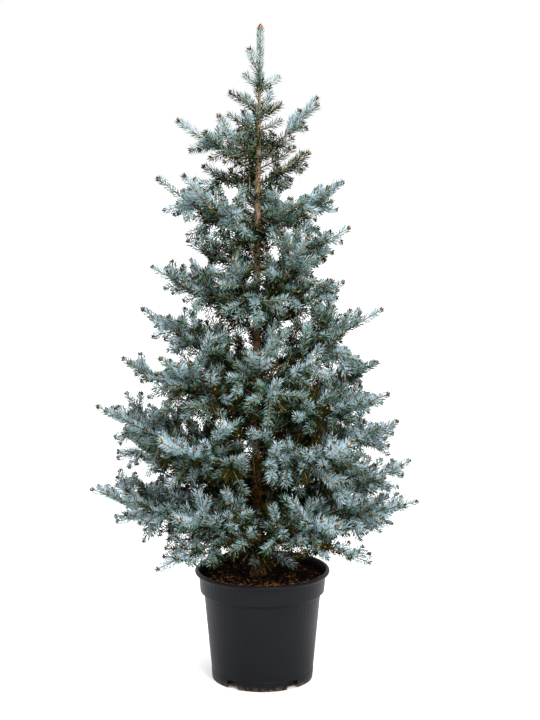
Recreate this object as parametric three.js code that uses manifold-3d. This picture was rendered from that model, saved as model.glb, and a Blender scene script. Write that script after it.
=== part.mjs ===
// A young blue spruce in a black nursery pot.
//
// The pot is a moulded shell with a rolled lip, a wide collar, a notched foot
// ring and ribs under its floor. It holds a round of potting bark. The trunk
// stands on the bark and runs to the tip of the leader. Whorls of boughs leave
// the trunk. Each bough carries one mass of needles: a flat, pointed, lobed
// plume. The lower boughs are bare near the trunk and are solids of their own.
// The upper ones are clothed in needles right up to the trunk.
//
// Millimetres, +Z up. The origin is the middle of the pot's underside.
// Azimuths are in degrees, from +X towards +Y, and -Y is the front.
import * as THREE from "three";
import { mergeVertices } from "three/addons/utils/BufferGeometryUtils.js";
import Module from "manifold-3d";

const wasm = await Module();
wasm.setup();

// ---------------------------------------------------------------- sizes
const HEIGHT = 1500; // pot's foot to the tip of the leader's bud
const GAP = 0.3; // air left between two solids that touch

const POT = {
  height: 260,
  lipRadius: 156,
  lipRoll: 5, // radius of the rolled lip's section
  collarRadius: 147,
  collarFoot: 210, // height at which the collar steps in
  collarStep: 7,
  collarTaper: 3, // how much narrower the collar is at its foot
  shoulderRadius: 135,
  footRadius: 116,
  wall: 2.4,
  floor: 19, // height of the floor's underside
  floorThickness: 3,
  hubRadius: 24, // the flat disc under the middle, which stands on the ground
  ribs: 5,
  ribWidth: 3,
  notches: 5,
  firstNotch: -54,
  notchWidth: 31,
  notchHeight: 19,
  notchDepth: 24,
  drainRadius: 9,
  drainCircle: 62,
  drainSides: 8,
  lipSteps: 2,
  bite: 1, // how far a rib runs into what it joins
  sides: 24,
};
const SOIL_TOP = 238;

// The trunk leans a little and comes back to the upright at its tip.
const TRUNK = {
  footRadius: 12.5,
  flareRadius: 19,
  flareHeight: 26,
  flareRoots: 5,
  tipRadius: 1.8,
  taper: 0.82, // under 1 keeps the stem stout for longer
  budLength: 9, // the bud and its needles stand over the stem's tip
  ringCrowding: 1.25, // over 1 sets the rings closer near the foot
  leanX: [-10, -14, -12, -9, -3], // at even heights from the soil to the tip
  leanY: [0, 3, 4, 1, 0],
  sides: 8,
  rings: 10,
};

// Every bough is [azimuth, reach, height of its tip], with its sag where that
// isn't the whorl's own. Reach is measured out from the trunk. Sag is how far
// the middle hangs below a straight line, as a share of the reach.
const WHORLS = [
  { root: 1170, sag: 0.04, limbs: false, boughs: {
    left: [180, 182, 1292], front_left: [235, 150, 1308], right: [22, 146, 1340], back: [98, 150, 1296] } },
  { root: 1126, sag: 0.03, limbs: false, boughs: {
    left: [160, 136, 1186], front_right: [-22, 126, 1222] } },
  { root: 994, sag: 0.05, limbs: false, boughs: {
    left: [182, 226, 1164], front_left: [221, 214, 1180], front_right: [-62, 160, 1130],
    right: [9, 188, 1150], back: [88, 214, 1138] } },
  { root: 940, sag: 0.05, limbs: false, boughs: {
    left: [150, 188, 1012], right: [-12, 214, 1056] } },
  { root: 836, sag: 0.06, limbs: false, boughs: {
    left: [188, 240, 968], front_left: [254, 188, 1002], front_right: [-55, 196, 1046],
    right: [-2, 200, 930], back_right: [58, 236, 964], back_left: [130, 246, 958] } },
  { root: 708, sag: 0.06, limbs: false, boughs: {
    left: [176, 264, 866], right: [3, 290, 864] } },
  { root: 614, sag: 0.07, limbs: false, boughs: {
    left: [178, 308, 752], front_left: [226, 300, 792], front: [272, 236, 806],
    front_right: [-30, 340, 704], right: [6, 276, 742], back: [110, 312, 760] } },
  { root: 494, sag: 0.07, limbs: true, boughs: {
    left: [179, 368, 642], front_left: [234, 352, 622], front_right: [-54, 344, 610],
    right: [4, 330, 604], back: [58, 350, 632] } },
  { root: 412, sag: 0.08, limbs: false, boughs: {
    left: [158, 340, 566], front: [266, 156, 606], right: [14, 372, 496] } },
  { root: 374, sag: 0.06, limbs: true, boughs: {
    left: [184, 384, 456], front_left: [240, 336, 450], front_right: [-58, 330, 430],
    right: [-3, 372, 424], back: [98, 364, 440] } },
  { root: 314, sag: -0.07, limbs: false, boughs: {
    left: [172, 340, 372], front_left: [222, 302, 312], front_right: [-36, 312, 322],
    right: [12, 326, 348], back: [88, 336, 344] } },
];

// A plume's half width and half depth follow the reach of its bough.
const PLUME = {
  shootRadius: 14, // one shoot with its needles
  widthShare: 0.3, // of the reach, where it is widest
  sector: 0.6, // half width over distance from the trunk, near the trunk
  riseShare: 0.2, // half depth above the bough, of the reach
  dropShare: 0.5, // depth below, of the depth above
  lobes: 3.5,
  lobeDepth: 0.2,
  uneven: 0.3,
  around: 6,
  along: 6,
};
const LIMB = {
  share: 0.22, // of the bough's length that is bare
  socket: 12, // how far it goes into its plume
  radiusShare: 0.021, // at the trunk, of the reach
  tipShare: 0.72,
  sides: 6,
  rings: 1,
};
// The needles on the leader, and on the short shoots under it, as rings from
// the foot up: height, radius and how deep the gaps between the shoots go.
const SPIRES = {
  leader: { shoots: 4, turn: 30, rings: [
    [1360, 14, 0], [1384, 32, 0.4], [1400, 40, 0.6], [1412, 16, 0.2], [1450, 12, 0], [1488, 10, 0],
    [1500, 3, 0]] },
  upper: { shoots: 5, turn: 180, rings: [
    [1226, 22, 0], [1256, 44, 0.4], [1286, 40, 0.3], [1318, 46, 0.4], [1346, 66, 0.6], [1358, 16, 0]] },
};
const SPIRE_SIDES = 8;

const COLOURS = {
  pot: 0x26282b, soil: 0x3a2013, trunk: 0x5b4029, bough: 0x5f4a30, foliage: 0x6f8f99,
};

// -------------------------------------------------------------- helpers
const UP = new THREE.Vector3(0, 0, 1);
const { lerp, smoothstep, degToRad } = THREE.MathUtils;

// A repeatable number from 0 to 1 for any key.
function chance(...key) {
  const n = key.reduce((sum, k, i) => sum + k * (12.9898 + 65.5321 * i), 4.7);
  const s = Math.sin(n) * 43758.5453;
  return s - Math.floor(s);
}

// Only positions, with shared corners, as one closed surface.
function closed(geometry) {
  geometry.deleteAttribute("normal");
  geometry.deleteAttribute("uv");
  return mergeVertices(geometry, 1e-4);
}

function toSolid(geometry) {
  const shared = closed(geometry);
  return new wasm.Manifold(
    new wasm.Mesh({
      numProp: 3,
      vertProperties: shared.attributes.position.array,
      triVerts: new Uint32Array(shared.index.array),
    }),
  );
}

// Cutting can leave crumbs, so the largest body is kept.
function largest(solid) {
  return solid.decompose().reduce((a, b) => (b.volume() > a.volume() ? b : a));
}

function toMesh(name, solid, colour, roughness) {
  const cut = solid.getMesh();
  const geometry = new THREE.BufferGeometry()
    .setAttribute("position", new THREE.BufferAttribute(new Float32Array(cut.vertProperties), 3))
    .setIndex(new THREE.BufferAttribute(new Uint32Array(cut.triVerts), 1));
  geometry.computeVertexNormals();
  const material = new THREE.MeshStandardMaterial({ color: colour, roughness, metalness: 0 });
  const mesh = new THREE.Mesh(geometry, material);
  mesh.name = name;
  return mesh;
}

// A cylinder whose rings are placed one by one: place(t, angle) is the point
// at share t of its length.
function shapedCylinder(sides, rings, place) {
  const geometry = closed(new THREE.CylinderGeometry(1, 1, 1, sides, rings));
  const at = geometry.attributes.position;
  const corner = new THREE.Vector3();
  for (let i = 0; i < at.count; i++) {
    corner.fromBufferAttribute(at, i);
    const out = Math.hypot(corner.x, corner.z);
    const point = place(corner.y + 0.5, Math.atan2(corner.x, corner.z), out);
    at.setXYZ(i, point.x, point.y, point.z);
  }
  return geometry;
}

// ---------------------------------------------------------------- trunk
function evenly(values, t) {
  const x = THREE.MathUtils.clamp(t, 0, 1) * (values.length - 1);
  const i = Math.min(Math.floor(x), values.length - 2);
  return lerp(values[i], values[i + 1], smoothstep(x - i, 0, 1));
}

function trunkCentre(z) {
  const t = (z - SOIL_TOP) / (HEIGHT - SOIL_TOP);
  return new THREE.Vector3(evenly(TRUNK.leanX, t), evenly(TRUNK.leanY, t), z);
}

function trunkRadius(z, angle) {
  const t = (z - SOIL_TOP) / (HEIGHT - SOIL_TOP);
  const stem = lerp(TRUNK.footRadius, TRUNK.tipRadius, Math.pow(t, TRUNK.taper));
  const low = 1 - smoothstep(z, SOIL_TOP, SOIL_TOP + TRUNK.flareHeight);
  const root = 0.72 + 0.28 * Math.cos(TRUNK.flareRoots * angle + 0.6);
  return stem + (TRUNK.flareRadius - TRUNK.footRadius) * low * root;
}

// grow thickens it, for cutting the plumes round it.
function trunkSolid(grow = 0) {
  const foot = SOIL_TOP + GAP - grow;
  const top = HEIGHT - TRUNK.budLength + grow;
  return toSolid(
    shapedCylinder(TRUNK.sides, TRUNK.rings, (t, angle, out) => {
      const z = lerp(foot, top, Math.pow(t, TRUNK.ringCrowding));
      const r = (trunkRadius(z, angle) + grow) * out;
      const middle = trunkCentre(z);
      return new THREE.Vector3(middle.x + r * Math.cos(angle), middle.y + r * Math.sin(angle), z);
    }),
  );
}

// ---------------------------------------------------------------- boughs
// The line of a bough, from the trunk's middle to its tip.
function boughLine(whorl, [azimuth, reach, tipHeight, sag = whorl.sag]) {
  const root = trunkCentre(whorl.root);
  const out = new THREE.Vector3(Math.cos(degToRad(azimuth)), Math.sin(degToRad(azimuth)), 0);
  const tip = root.clone().addScaledVector(out, reach).setZ(tipHeight);
  const middle = root.clone().lerp(tip, 0.5);
  middle.z -= 2 * sag * reach;
  return new THREE.QuadraticBezierCurve3(root, middle, tip);
}

// Across and above, for a point on the line.
function frameAt(line, s) {
  const along = line.getTangent(s);
  const across = new THREE.Vector3().crossVectors(UP, along).normalize();
  return { along, across, above: new THREE.Vector3().crossVectors(along, across) };
}

function limbSolid(whorl, bough, grow = 0) {
  const line = boughLine(whorl, bough);
  const end = LIMB.share + LIMB.socket / bough[1] + grow / bough[1];
  const thick = LIMB.radiusShare * bough[1];
  return toSolid(
    shapedCylinder(LIMB.sides, LIMB.rings, (t, angle, out) => {
      const s = t * end;
      const { across, above } = frameAt(line, s);
      const r = (lerp(thick, thick * LIMB.tipShare, t) + grow) * out;
      return line
        .getPoint(s)
        .addScaledVector(across, r * Math.cos(angle))
        .addScaledVector(above, r * Math.sin(angle));
    }),
  );
}

// 1 along the middle of a plume, closing to 0 at its two ends.
function closing(t) {
  return Math.sqrt(Math.max(0, 1 - Math.pow(2 * t - 1, 6)));
}

// A plume's half width at share t of its length: it opens from the trunk, then
// has a long taper to the end shoot, with a lobe for each pair of side shoots.
function plumeWidth(reach, t, side, seed) {
  const taper = PLUME.widthShare * Math.pow(Math.sin(Math.PI * Math.pow(t, 0.8)), 0.9);
  const wave = Math.cos(2 * Math.PI * (PLUME.lobes * t + 0.5 * side + chance(seed, side)));
  const body = reach * Math.min(PLUME.sector * t, taper) * (1 + PLUME.lobeDepth * wave);
  return (PLUME.shootRadius + body) * closing(t);
}

function plumeDepth(reach, t, above, key) {
  const taper = PLUME.riseShare * Math.pow(Math.sin(Math.PI * Math.pow(t, 0.75)), 0.8);
  const even = (PLUME.shootRadius + reach * taper) * closing(t);
  return even * (above ? 1 : PLUME.dropShare) * (1 + PLUME.uneven * (chance(...key) - 0.5));
}

function plumeSolid(whorl, bough, seed, grow = 0) {
  const line = boughLine(whorl, bough);
  const start = whorl.limbs ? LIMB.share : 0;
  const geometry = closed(new THREE.SphereGeometry(1, PLUME.around, PLUME.along).rotateY(Math.PI / 2));
  const at = geometry.attributes.position;
  const corner = new THREE.Vector3();
  for (let i = 0; i < at.count; i++) {
    corner.fromBufferAttribute(at, i);
    const t = Math.acos(THREE.MathUtils.clamp(-corner.y, -1, 1)) / Math.PI;
    const s = lerp(start, 1, t);
    const angle = Math.atan2(corner.x, corner.z);
    const { along, across, above } = frameAt(line, s);
    const point = line.getPoint(s);
    if (Math.hypot(corner.x, corner.z) < 1e-6) {
      point.addScaledVector(along, t > 0.5 ? grow : -grow);
    } else {
      const side = Math.cos(angle) > 0 ? 1 : 0;
      const key = [seed, Math.round(t * PLUME.along), Math.round((angle * PLUME.around) / Math.PI)];
      const wide = plumeWidth(bough[1], s, side, seed) + grow;
      const deep = plumeDepth(bough[1], s, Math.sin(angle) > 0, key) + grow;
      point.addScaledVector(across, wide * Math.cos(angle)).addScaledVector(above, deep * Math.sin(angle));
    }
    at.setXYZ(i, point.x, point.y, point.z);
  }
  return toSolid(geometry);
}

// ----------------------------------------------------------- crown's top
// Needles and short shoots round the trunk, ring by ring.
function spireSolid({ shoots, turn, rings }, grow = 0) {
  return toSolid(
    shapedCylinder(SPIRE_SIDES, rings.length - 1, (t, angle, out) => {
      const ring = Math.round(t * (rings.length - 1));
      const [height, radius, gaps] = rings[ring];
      const end = ring === 0 ? -grow : ring === rings.length - 1 ? grow : 0;
      const z = height + end;
      const between = 0.5 - 0.5 * Math.cos(shoots * (angle - degToRad(turn)));
      const r = (radius * (1 - gaps * between) + grow) * out;
      const middle = trunkCentre(z);
      return new THREE.Vector3(middle.x + r * Math.cos(angle), middle.y + r * Math.sin(angle), z);
    }),
  );
}

// ------------------------------------------------------------------- pot
// The wall's outside, from the foot to under the lip, as radius and height.
function outerWall() {
  return [
    [POT.footRadius, 0],
    [POT.shoulderRadius, POT.collarFoot - POT.collarStep],
    [POT.collarRadius - POT.collarTaper, POT.collarFoot],
    [POT.collarRadius, POT.height - 2 * POT.lipRoll],
  ];
}

function potInsideRadius(z) {
  const wall = outerWall();
  const i = Math.max(1, wall.findIndex(([, height]) => height > z));
  const [[r0, z0], [r1, z1]] = [wall[i - 1], wall[i]];
  return lerp(r0, r1, (z - z0) / (z1 - z0)) - POT.wall;
}

function spun(profile) {
  const outline = [...profile, profile[0]].map(([r, z]) => new THREE.Vector2(r, z));
  return toSolid(new THREE.LatheGeometry(outline, POT.sides).rotateX(Math.PI / 2));
}

// A box or a cylinder standing at an azimuth, for cutting and adding.
function standing(geometry, azimuth, radius, z) {
  geometry.translate(radius, 0, z).rotateZ(degToRad(azimuth));
  return toSolid(geometry);
}

function potSolid() {
  const { height, lipRadius, lipRoll, lipSteps, wall, floor, floorThickness, hubRadius } = POT;
  const lip = [];
  for (let i = 0; i <= lipSteps; i++) {
    const turn = lerp(-Math.PI / 2, Math.PI / 2, i / lipSteps);
    lip.push([lipRadius - lipRoll + lipRoll * Math.cos(turn), height - lipRoll + lipRoll * Math.sin(turn)]);
  }
  const inside = outerWall()
    .slice(1)
    .reverse()
    .map(([r, z]) => [r - wall, z]);
  const top = floor + floorThickness;
  let pot = spun([
    [0, 0],
    [hubRadius, 0],
    [hubRadius, floor],
    [potInsideRadius(floor), floor],
    [POT.footRadius - wall, 0],
    ...outerWall(),
    ...lip,
    ...inside,
    [potInsideRadius(top), top],
    [0, top],
  ]);
  const { ribs, ribWidth, bite, drainRadius, drainSides, drainCircle } = POT;
  const ribLength = potInsideRadius(0) - hubRadius + 2 * bite;
  const ribHeight = floor + bite;
  for (let i = 0; i < ribs; i++) {
    const azimuth = (360 / ribs) * i;
    const rib = new THREE.BoxGeometry(ribLength, ribWidth, ribHeight);
    pot = pot.add(standing(rib, azimuth, hubRadius - bite + ribLength / 2, ribHeight / 2));
    const drain = new THREE.CylinderGeometry(drainRadius, drainRadius, 2 * floor, drainSides);
    drain.rotateX(Math.PI / 2);
    pot = pot.subtract(standing(drain, azimuth + 180 / ribs, drainCircle, floor));
  }
  const { notches, firstNotch, notchWidth, notchHeight, notchDepth } = POT;
  for (let i = 0; i < notches; i++) {
    const notch = new THREE.BoxGeometry(notchDepth, notchWidth, 2 * notchHeight);
    pot = pot.subtract(standing(notch, firstNotch + (360 / notches) * i, POT.footRadius, 0));
  }
  return pot;
}

// The bark fills the pot to a little under the lip.
function soilSolid() {
  const foot = POT.floor + POT.floorThickness + GAP;
  const wall = [foot, POT.collarFoot - POT.collarStep, POT.collarFoot, SOIL_TOP];
  return spun([[0, foot], ...wall.map((z) => [potInsideRadius(z) - GAP, z]), [0, SOIL_TOP]]);
}

// -------------------------------------------------------------- assembly
const plant = new THREE.Group();
plant.name = "potted_spruce";
plant.add(toMesh("pot", potSolid(), COLOURS.pot, 0.45));
plant.add(toMesh("soil", soilSolid(), COLOURS.soil, 0.95));
plant.add(toMesh("trunk", trunkSolid(), COLOURS.trunk, 0.9));

const cutters = [trunkSolid(GAP)]; // what every later solid keeps clear of
function cutClear(solid) {
  return largest(cutters.reduce((rest, cutter) => rest.subtract(cutter), solid));
}

// Whorls are numbered from the top of the tree down. The upper ones are
// clothed to the trunk, so their plumes leave their limbs out.
WHORLS.forEach((whorl, w) => {
  if (!whorl.limbs) return;
  for (const [side, bough] of Object.entries(whorl.boughs)) {
    plant.add(toMesh(`bough_${w + 1}_${side}`, cutClear(limbSolid(whorl, bough)), COLOURS.bough, 0.9));
    cutters.push(limbSolid(whorl, bough, GAP));
  }
});

for (const [name, spire] of Object.entries(SPIRES)) {
  plant.add(toMesh(`foliage_${name}`, cutClear(spireSolid(spire)), COLOURS.foliage, 0.8));
  cutters.push(spireSolid(spire, GAP));
}

WHORLS.forEach((whorl, w) => {
  Object.entries(whorl.boughs).forEach(([side, bough], b) => {
    const seed = 10 * w + b;
    const plume = cutClear(plumeSolid(whorl, bough, seed));
    plant.add(toMesh(`foliage_${w + 1}_${side}`, plume, COLOURS.foliage, 0.8));
    cutters.push(plumeSolid(whorl, bough, seed, GAP));
  });
});

export default plant;
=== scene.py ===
# %% [markdown]
# # A young blue spruce in its nursery pot
# The trunk, the bare limbs, the outer shape of every plume of needles and the
# pot come as a fixed frame of plain solids. This script dresses them. It reads
# the line of each bough off its solid, grows side branches inside that solid
# by one rule, and clothes every shoot in needles with a cluster of buds at its
# tip. Everything is in metres, with +Z up and -Y the front. All that is random
# comes from one seeded source, so each run makes the same tree.

# %% Load the frame
import math
import bpy
import numpy as np
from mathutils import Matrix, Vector
from mathutils.bvhtree import BVHTree


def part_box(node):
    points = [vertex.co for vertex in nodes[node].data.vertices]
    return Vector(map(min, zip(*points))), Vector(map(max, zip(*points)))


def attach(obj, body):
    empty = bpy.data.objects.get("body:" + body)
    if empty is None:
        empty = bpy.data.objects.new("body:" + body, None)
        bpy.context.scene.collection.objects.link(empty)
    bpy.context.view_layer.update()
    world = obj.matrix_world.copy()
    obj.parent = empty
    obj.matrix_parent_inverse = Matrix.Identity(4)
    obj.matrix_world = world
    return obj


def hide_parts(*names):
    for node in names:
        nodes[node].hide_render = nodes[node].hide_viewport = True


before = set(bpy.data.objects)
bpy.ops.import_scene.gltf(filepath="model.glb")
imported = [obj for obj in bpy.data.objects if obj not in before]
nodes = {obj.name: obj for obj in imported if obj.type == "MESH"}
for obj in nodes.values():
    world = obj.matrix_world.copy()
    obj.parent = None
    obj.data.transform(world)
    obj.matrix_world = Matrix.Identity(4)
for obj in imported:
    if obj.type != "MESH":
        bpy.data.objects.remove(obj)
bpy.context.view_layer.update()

# %% [markdown]
# The camera stands a little over four metres away at the height of the tree's
# tip and looks down by ten degrees, so the pot's mouth opens as a flat
# ellipse. A long lens from far off keeps the crown's outline nearly as it
# would be drawn from the front. A small turn sets the tree left of the middle.

# %% Camera
EYE = Vector((0.0, -4.2, 1.476))
LOOK_DOWN = math.radians(9.834)
TURN = math.radians(0.241)
FOCAL_MM = 93.87
SENSOR_MM = 36.0

camera_data = bpy.data.cameras.new("camera")
camera_data.sensor_width = SENSOR_MM
camera_data.lens = FOCAL_MM
camera = bpy.data.objects.new("camera", camera_data)
camera.location = EYE
camera.rotation_euler = (math.pi / 2 - LOOK_DOWN, 0.0, -TURN)
bpy.context.scene.collection.objects.link(camera)
bpy.context.scene.camera = camera
print("camera", round(-EYE.y, 2), "m away, looking down", round(math.degrees(LOOK_DOWN), 1), "degrees")

# %% [markdown]
# The plant stands on a white sweep in a studio. A large plane is the floor,
# and the surroundings give an even white light that is stronger from above. A
# wide lamp in front and to the right and a wider one overhead add a soft
# direction, so that the upper side of each shoot is brighter than the lower.

# %% Floor and light
FLOOR_SIDE = 30.0
SKY_BELOW, SKY_OVERHEAD = 0.6, 2.3
LAMPS = [  # name, place, target, width and watts
    ("key", (1.2, -3.0, 3.4), (0, 0, 0.8), 1.6, 130),
    ("top", (0.3, 0.2, 4.2), (0, 0, 0.5), 2.4, 90),
]


def new_object(name, mesh):
    piece = bpy.data.objects.new(name, mesh)
    bpy.context.scene.collection.objects.link(piece)
    return piece


def flat_square(name, side):
    half = side / 2
    mesh = bpy.data.meshes.new(name)
    corners = [(-half, -half, 0), (half, -half, 0), (half, half, 0), (-half, half, 0)]
    mesh.from_pydata(corners, [], [(0, 1, 2, 3)])
    return new_object(name, mesh)


def surface(name, colour, roughness, specular):
    """A material with plain values on its shader."""
    material = bpy.data.materials.new(name)
    material.use_nodes = True
    shader = material.node_tree.nodes["Principled BSDF"]
    shader.inputs["Base Color"].default_value = (*colour, 1.0)
    shader.inputs["Roughness"].default_value = roughness
    shader.inputs["Specular IOR Level"].default_value = specular
    return material


floor = flat_square("floor", FLOOR_SIDE)
floor.data.materials.append(surface("studio_white", (0.84, 0.84, 0.85), 0.9, 0.1))


def link(tree, source, target):
    tree.links.new(source, target)


def ranged(tree, value, came=(0.0, 1.0), goes=(0.0, 1.0)):
    """A value turned from the range in which it came into the one in which it goes on."""
    node = tree.nodes.new("ShaderNodeMapRange")
    for socket, number in zip(("From Min", "From Max", "To Min", "To Max"), (*came, *goes)):
        node.inputs[socket].default_value = number
    link(tree, value, node.inputs["Value"])
    return node.outputs["Result"]


def make_sky():
    world = bpy.data.worlds.new("studio")
    bpy.context.scene.world = world
    world.use_nodes = True
    tree = world.node_tree
    tree.nodes.clear()
    place = tree.nodes.new("ShaderNodeTexCoord")
    split = tree.nodes.new("ShaderNodeSeparateXYZ")
    seen = tree.nodes.new("ShaderNodeLightPath")
    strength = tree.nodes.new("ShaderNodeMix")
    strength.inputs["B"].default_value = 1.0
    backdrop = tree.nodes.new("ShaderNodeBackground")
    backdrop.inputs["Color"].default_value = (1.0, 1.0, 1.0, 1.0)
    out = tree.nodes.new("ShaderNodeOutputWorld")
    link(tree, place.outputs["Generated"], split.inputs["Vector"])
    brightness = ranged(tree, split.outputs["Z"], (-0.4, 1.0), (SKY_BELOW, SKY_OVERHEAD))
    link(tree, seen.outputs["Is Camera Ray"], strength.inputs["Factor"])
    link(tree, brightness, strength.inputs["A"])
    link(tree, strength.outputs["Result"], backdrop.inputs["Strength"])
    link(tree, backdrop.outputs["Background"], out.inputs["Surface"])


def soft_lamp(name, place, target, width, watts):
    data = bpy.data.lights.new(name, "AREA")
    data.shape = "DISK"
    data.size = width
    data.energy = watts
    lamp = bpy.data.objects.new(name, data)
    lamp.location = place
    lamp.rotation_euler = (Vector(target) - Vector(place)).to_track_quat("-Z", "Y").to_euler()
    bpy.context.scene.collection.objects.link(lamp)


make_sky()
for lamp in LAMPS:
    soft_lamp(*lamp)
bpy.context.scene.view_settings.view_transform = "Standard"
print("lamps:", ", ".join(lamp[0] for lamp in LAMPS))

# %% [markdown]
# The skeleton comes from the frame. The trunk's solid is a stack of rings, so
# the middle of each ring is a point of its centre line, and the ring's width
# gives its radius there.

# %% Read the trunk
UP = np.array([0.0, 0.0, 1.0])
LEVEL_MATCH = 1e-4


def corners(name):
    mesh = nodes[name].data
    flat = np.empty(len(mesh.vertices) * 3, np.float32)
    mesh.vertices.foreach_get("co", flat)
    return flat.reshape(-1, 3).astype(float)


def unit(v):
    return v / np.maximum(np.linalg.norm(v, axis=-1, keepdims=True), 1e-12)


def read_trunk():
    points = corners("trunk")
    levels = np.unique(points[:, 2].round(4))
    rows = []
    for level in levels:
        ring = points[np.abs(points[:, 2] - level) < LEVEL_MATCH]
        middle = (ring[:, :2].min(0) + ring[:, :2].max(0)) / 2
        rows.append([level, *middle, np.linalg.norm(ring[:, :2] - middle, axis=1).max()])
    return np.array(rows)


trunk_rings = read_trunk()
STEM_FOOT, STEM_TOP = trunk_rings[0, 0], trunk_rings[-1, 0]


def stem(z):
    """The trunk's centre at a height."""
    return np.array([np.interp(z, trunk_rings[:, 0], trunk_rings[:, k]) for k in (1, 2)] + [z])


def stem_radius(z):
    return float(np.interp(z, trunk_rings[:, 0], trunk_rings[:, 3]))


print("trunk from", round(STEM_FOOT, 3), "to", round(STEM_TOP, 3), "m")

# %% [markdown]
# The boughs of a spruce stand in whorls, one for each year of the trunk. A
# plume's solid gives three things: the bough's tip, which is the point
# furthest from the trunk, its root on the trunk and, half way out, how far it
# hangs below a straight line. A curve through these is the bough.

# %% Read the boughs
NEAR_STEM = 0.03
AXIS_SHARE = 0.38  # of a plume's thickness lies under its bough
HALF_WAY = 0.16  # how far from the middle of the bough its hang is still read
MOST_RISE, MOST_HANG = 0.08, 0.1  # over the bough's reach


def envelope(name):
    mesh = nodes[name].data
    mesh.calc_loop_triangles()
    faces = [tuple(t.vertices) for t in mesh.loop_triangles]
    return BVHTree.FromPolygons([tuple(v.co) for v in mesh.vertices], faces)


def plume_names(whorl):
    return sorted(n for n in nodes if n.startswith(f"foliage_{whorl}_"))


def away(points, z):
    """How far points are from the trunk's centre at a height, seen from above."""
    return np.linalg.norm(points[:, :2] - stem(z)[:2], axis=1)


WHORLS = sorted({int(n.split("_")[1]) for n in nodes if n.split("_")[1:2] and n.split("_")[1].isdigit()})


def root_height(whorl):
    """Where a whorl leaves the trunk: the mean height of its solids close to it."""
    names = [n for n in nodes if n.startswith((f"foliage_{whorl}_", f"bough_{whorl}_"))]
    cloud = np.vstack([corners(n) for n in names])
    gap = away(cloud, cloud[:, 2].mean())
    return float(cloud[gap < max(NEAR_STEM, np.sort(gap)[8]), 2].mean())


def bough_path(name, root_z, steps=25):
    points = corners(name)
    root = stem(root_z)
    reach = away(points, root_z)
    tip = points[reach.argmax()]
    chord = tip - root
    share = (points - root) @ chord / (chord @ chord)
    middle = points[np.abs(share - 0.5) < HALF_WAY, 2]
    low, high = middle.min(), middle.max()
    hang = (root + chord / 2)[2] - (low + AXIS_SHARE * (high - low))
    hang = float(np.clip(hang, -MOST_RISE * reach.max(), MOST_HANG * reach.max()))
    bend = root + chord / 2 - 2 * hang * UP
    t = np.linspace(0, 1, steps)[:, None]
    return (1 - t) ** 2 * root + 2 * t * (1 - t) * bend + t**2 * tip


print(len(WHORLS), "whorls,", sum(len(plume_names(w)) for w in WHORLS), "boughs")

# %% [markdown]
# Every branch here is a path: a list of points along its middle. These helpers
# bend one, measure it and cut a part out of it.

# %% Helpers for paths
rng = np.random.default_rng(20260)


def spread(low, high):
    return float(rng.uniform(low, high))


TOP_FROM, TOP_TO = 0.65, 1.1


def at_top(z, there):
    """1 for the low boughs, changing to another value for those near the top."""
    return float(np.interp(z, [TOP_FROM, TOP_TO], [1.0, there]))


def turned_path(start, heading, length, rise, steps):
    """A path that sets off along heading and turns up by rise on its way."""
    t = np.linspace(0, 1, steps)[:, None]
    way = unit(heading * (1 - t) + unit(heading + rise * UP) * t)
    hops = (way[:-1] + way[1:]) / 2 * length / (steps - 1)
    return np.vstack([start, start + np.cumsum(hops, axis=0)])


def lengths_along(path):
    return np.concatenate([[0], np.cumsum(np.linalg.norm(np.diff(path, axis=0), axis=1))])


def part_of(path, along, a, b, steps=5):
    """The stretch of a path between two distances along it, in even steps."""
    marks = np.linspace(a, b, steps)
    return np.stack([np.interp(marks, along, path[:, k]) for k in range(3)], axis=1)


# %% [markdown]
# A crown has an outer shape and it has gaps. The shape is kept by casting a
# ray from a branch's foot to the skin of its plume's solid, which tells how
# long the branch may grow. The gaps are of two kinds: discs of open sky, and
# windows in which the trunk shows between the boughs in front of it. A branch
# that would close one is cut short there, and left out if too little remains.

# %% Room and gaps
SHORTEST = 0.026
SKIN_STEP = 1e-4  # how far a ray steps over a skin it has met


def room(solid, start, heading):
    """How far it is from start along heading to the solid's skin, or None if it isn't met."""
    if solid is None:
        return None
    place, way = Vector(start), Vector(heading)
    hits, gone = [], 0.0
    for _ in range(4):
        hit, _, _, distance = solid.ray_cast(place, way)
        if hit is None:
            break
        gone += distance + SKIN_STEP
        hits.append(gone)
        place = hit + way * SKIN_STEP
    if not hits:
        return None
    return hits[0] if len(hits) % 2 else hits[-1]


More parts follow.
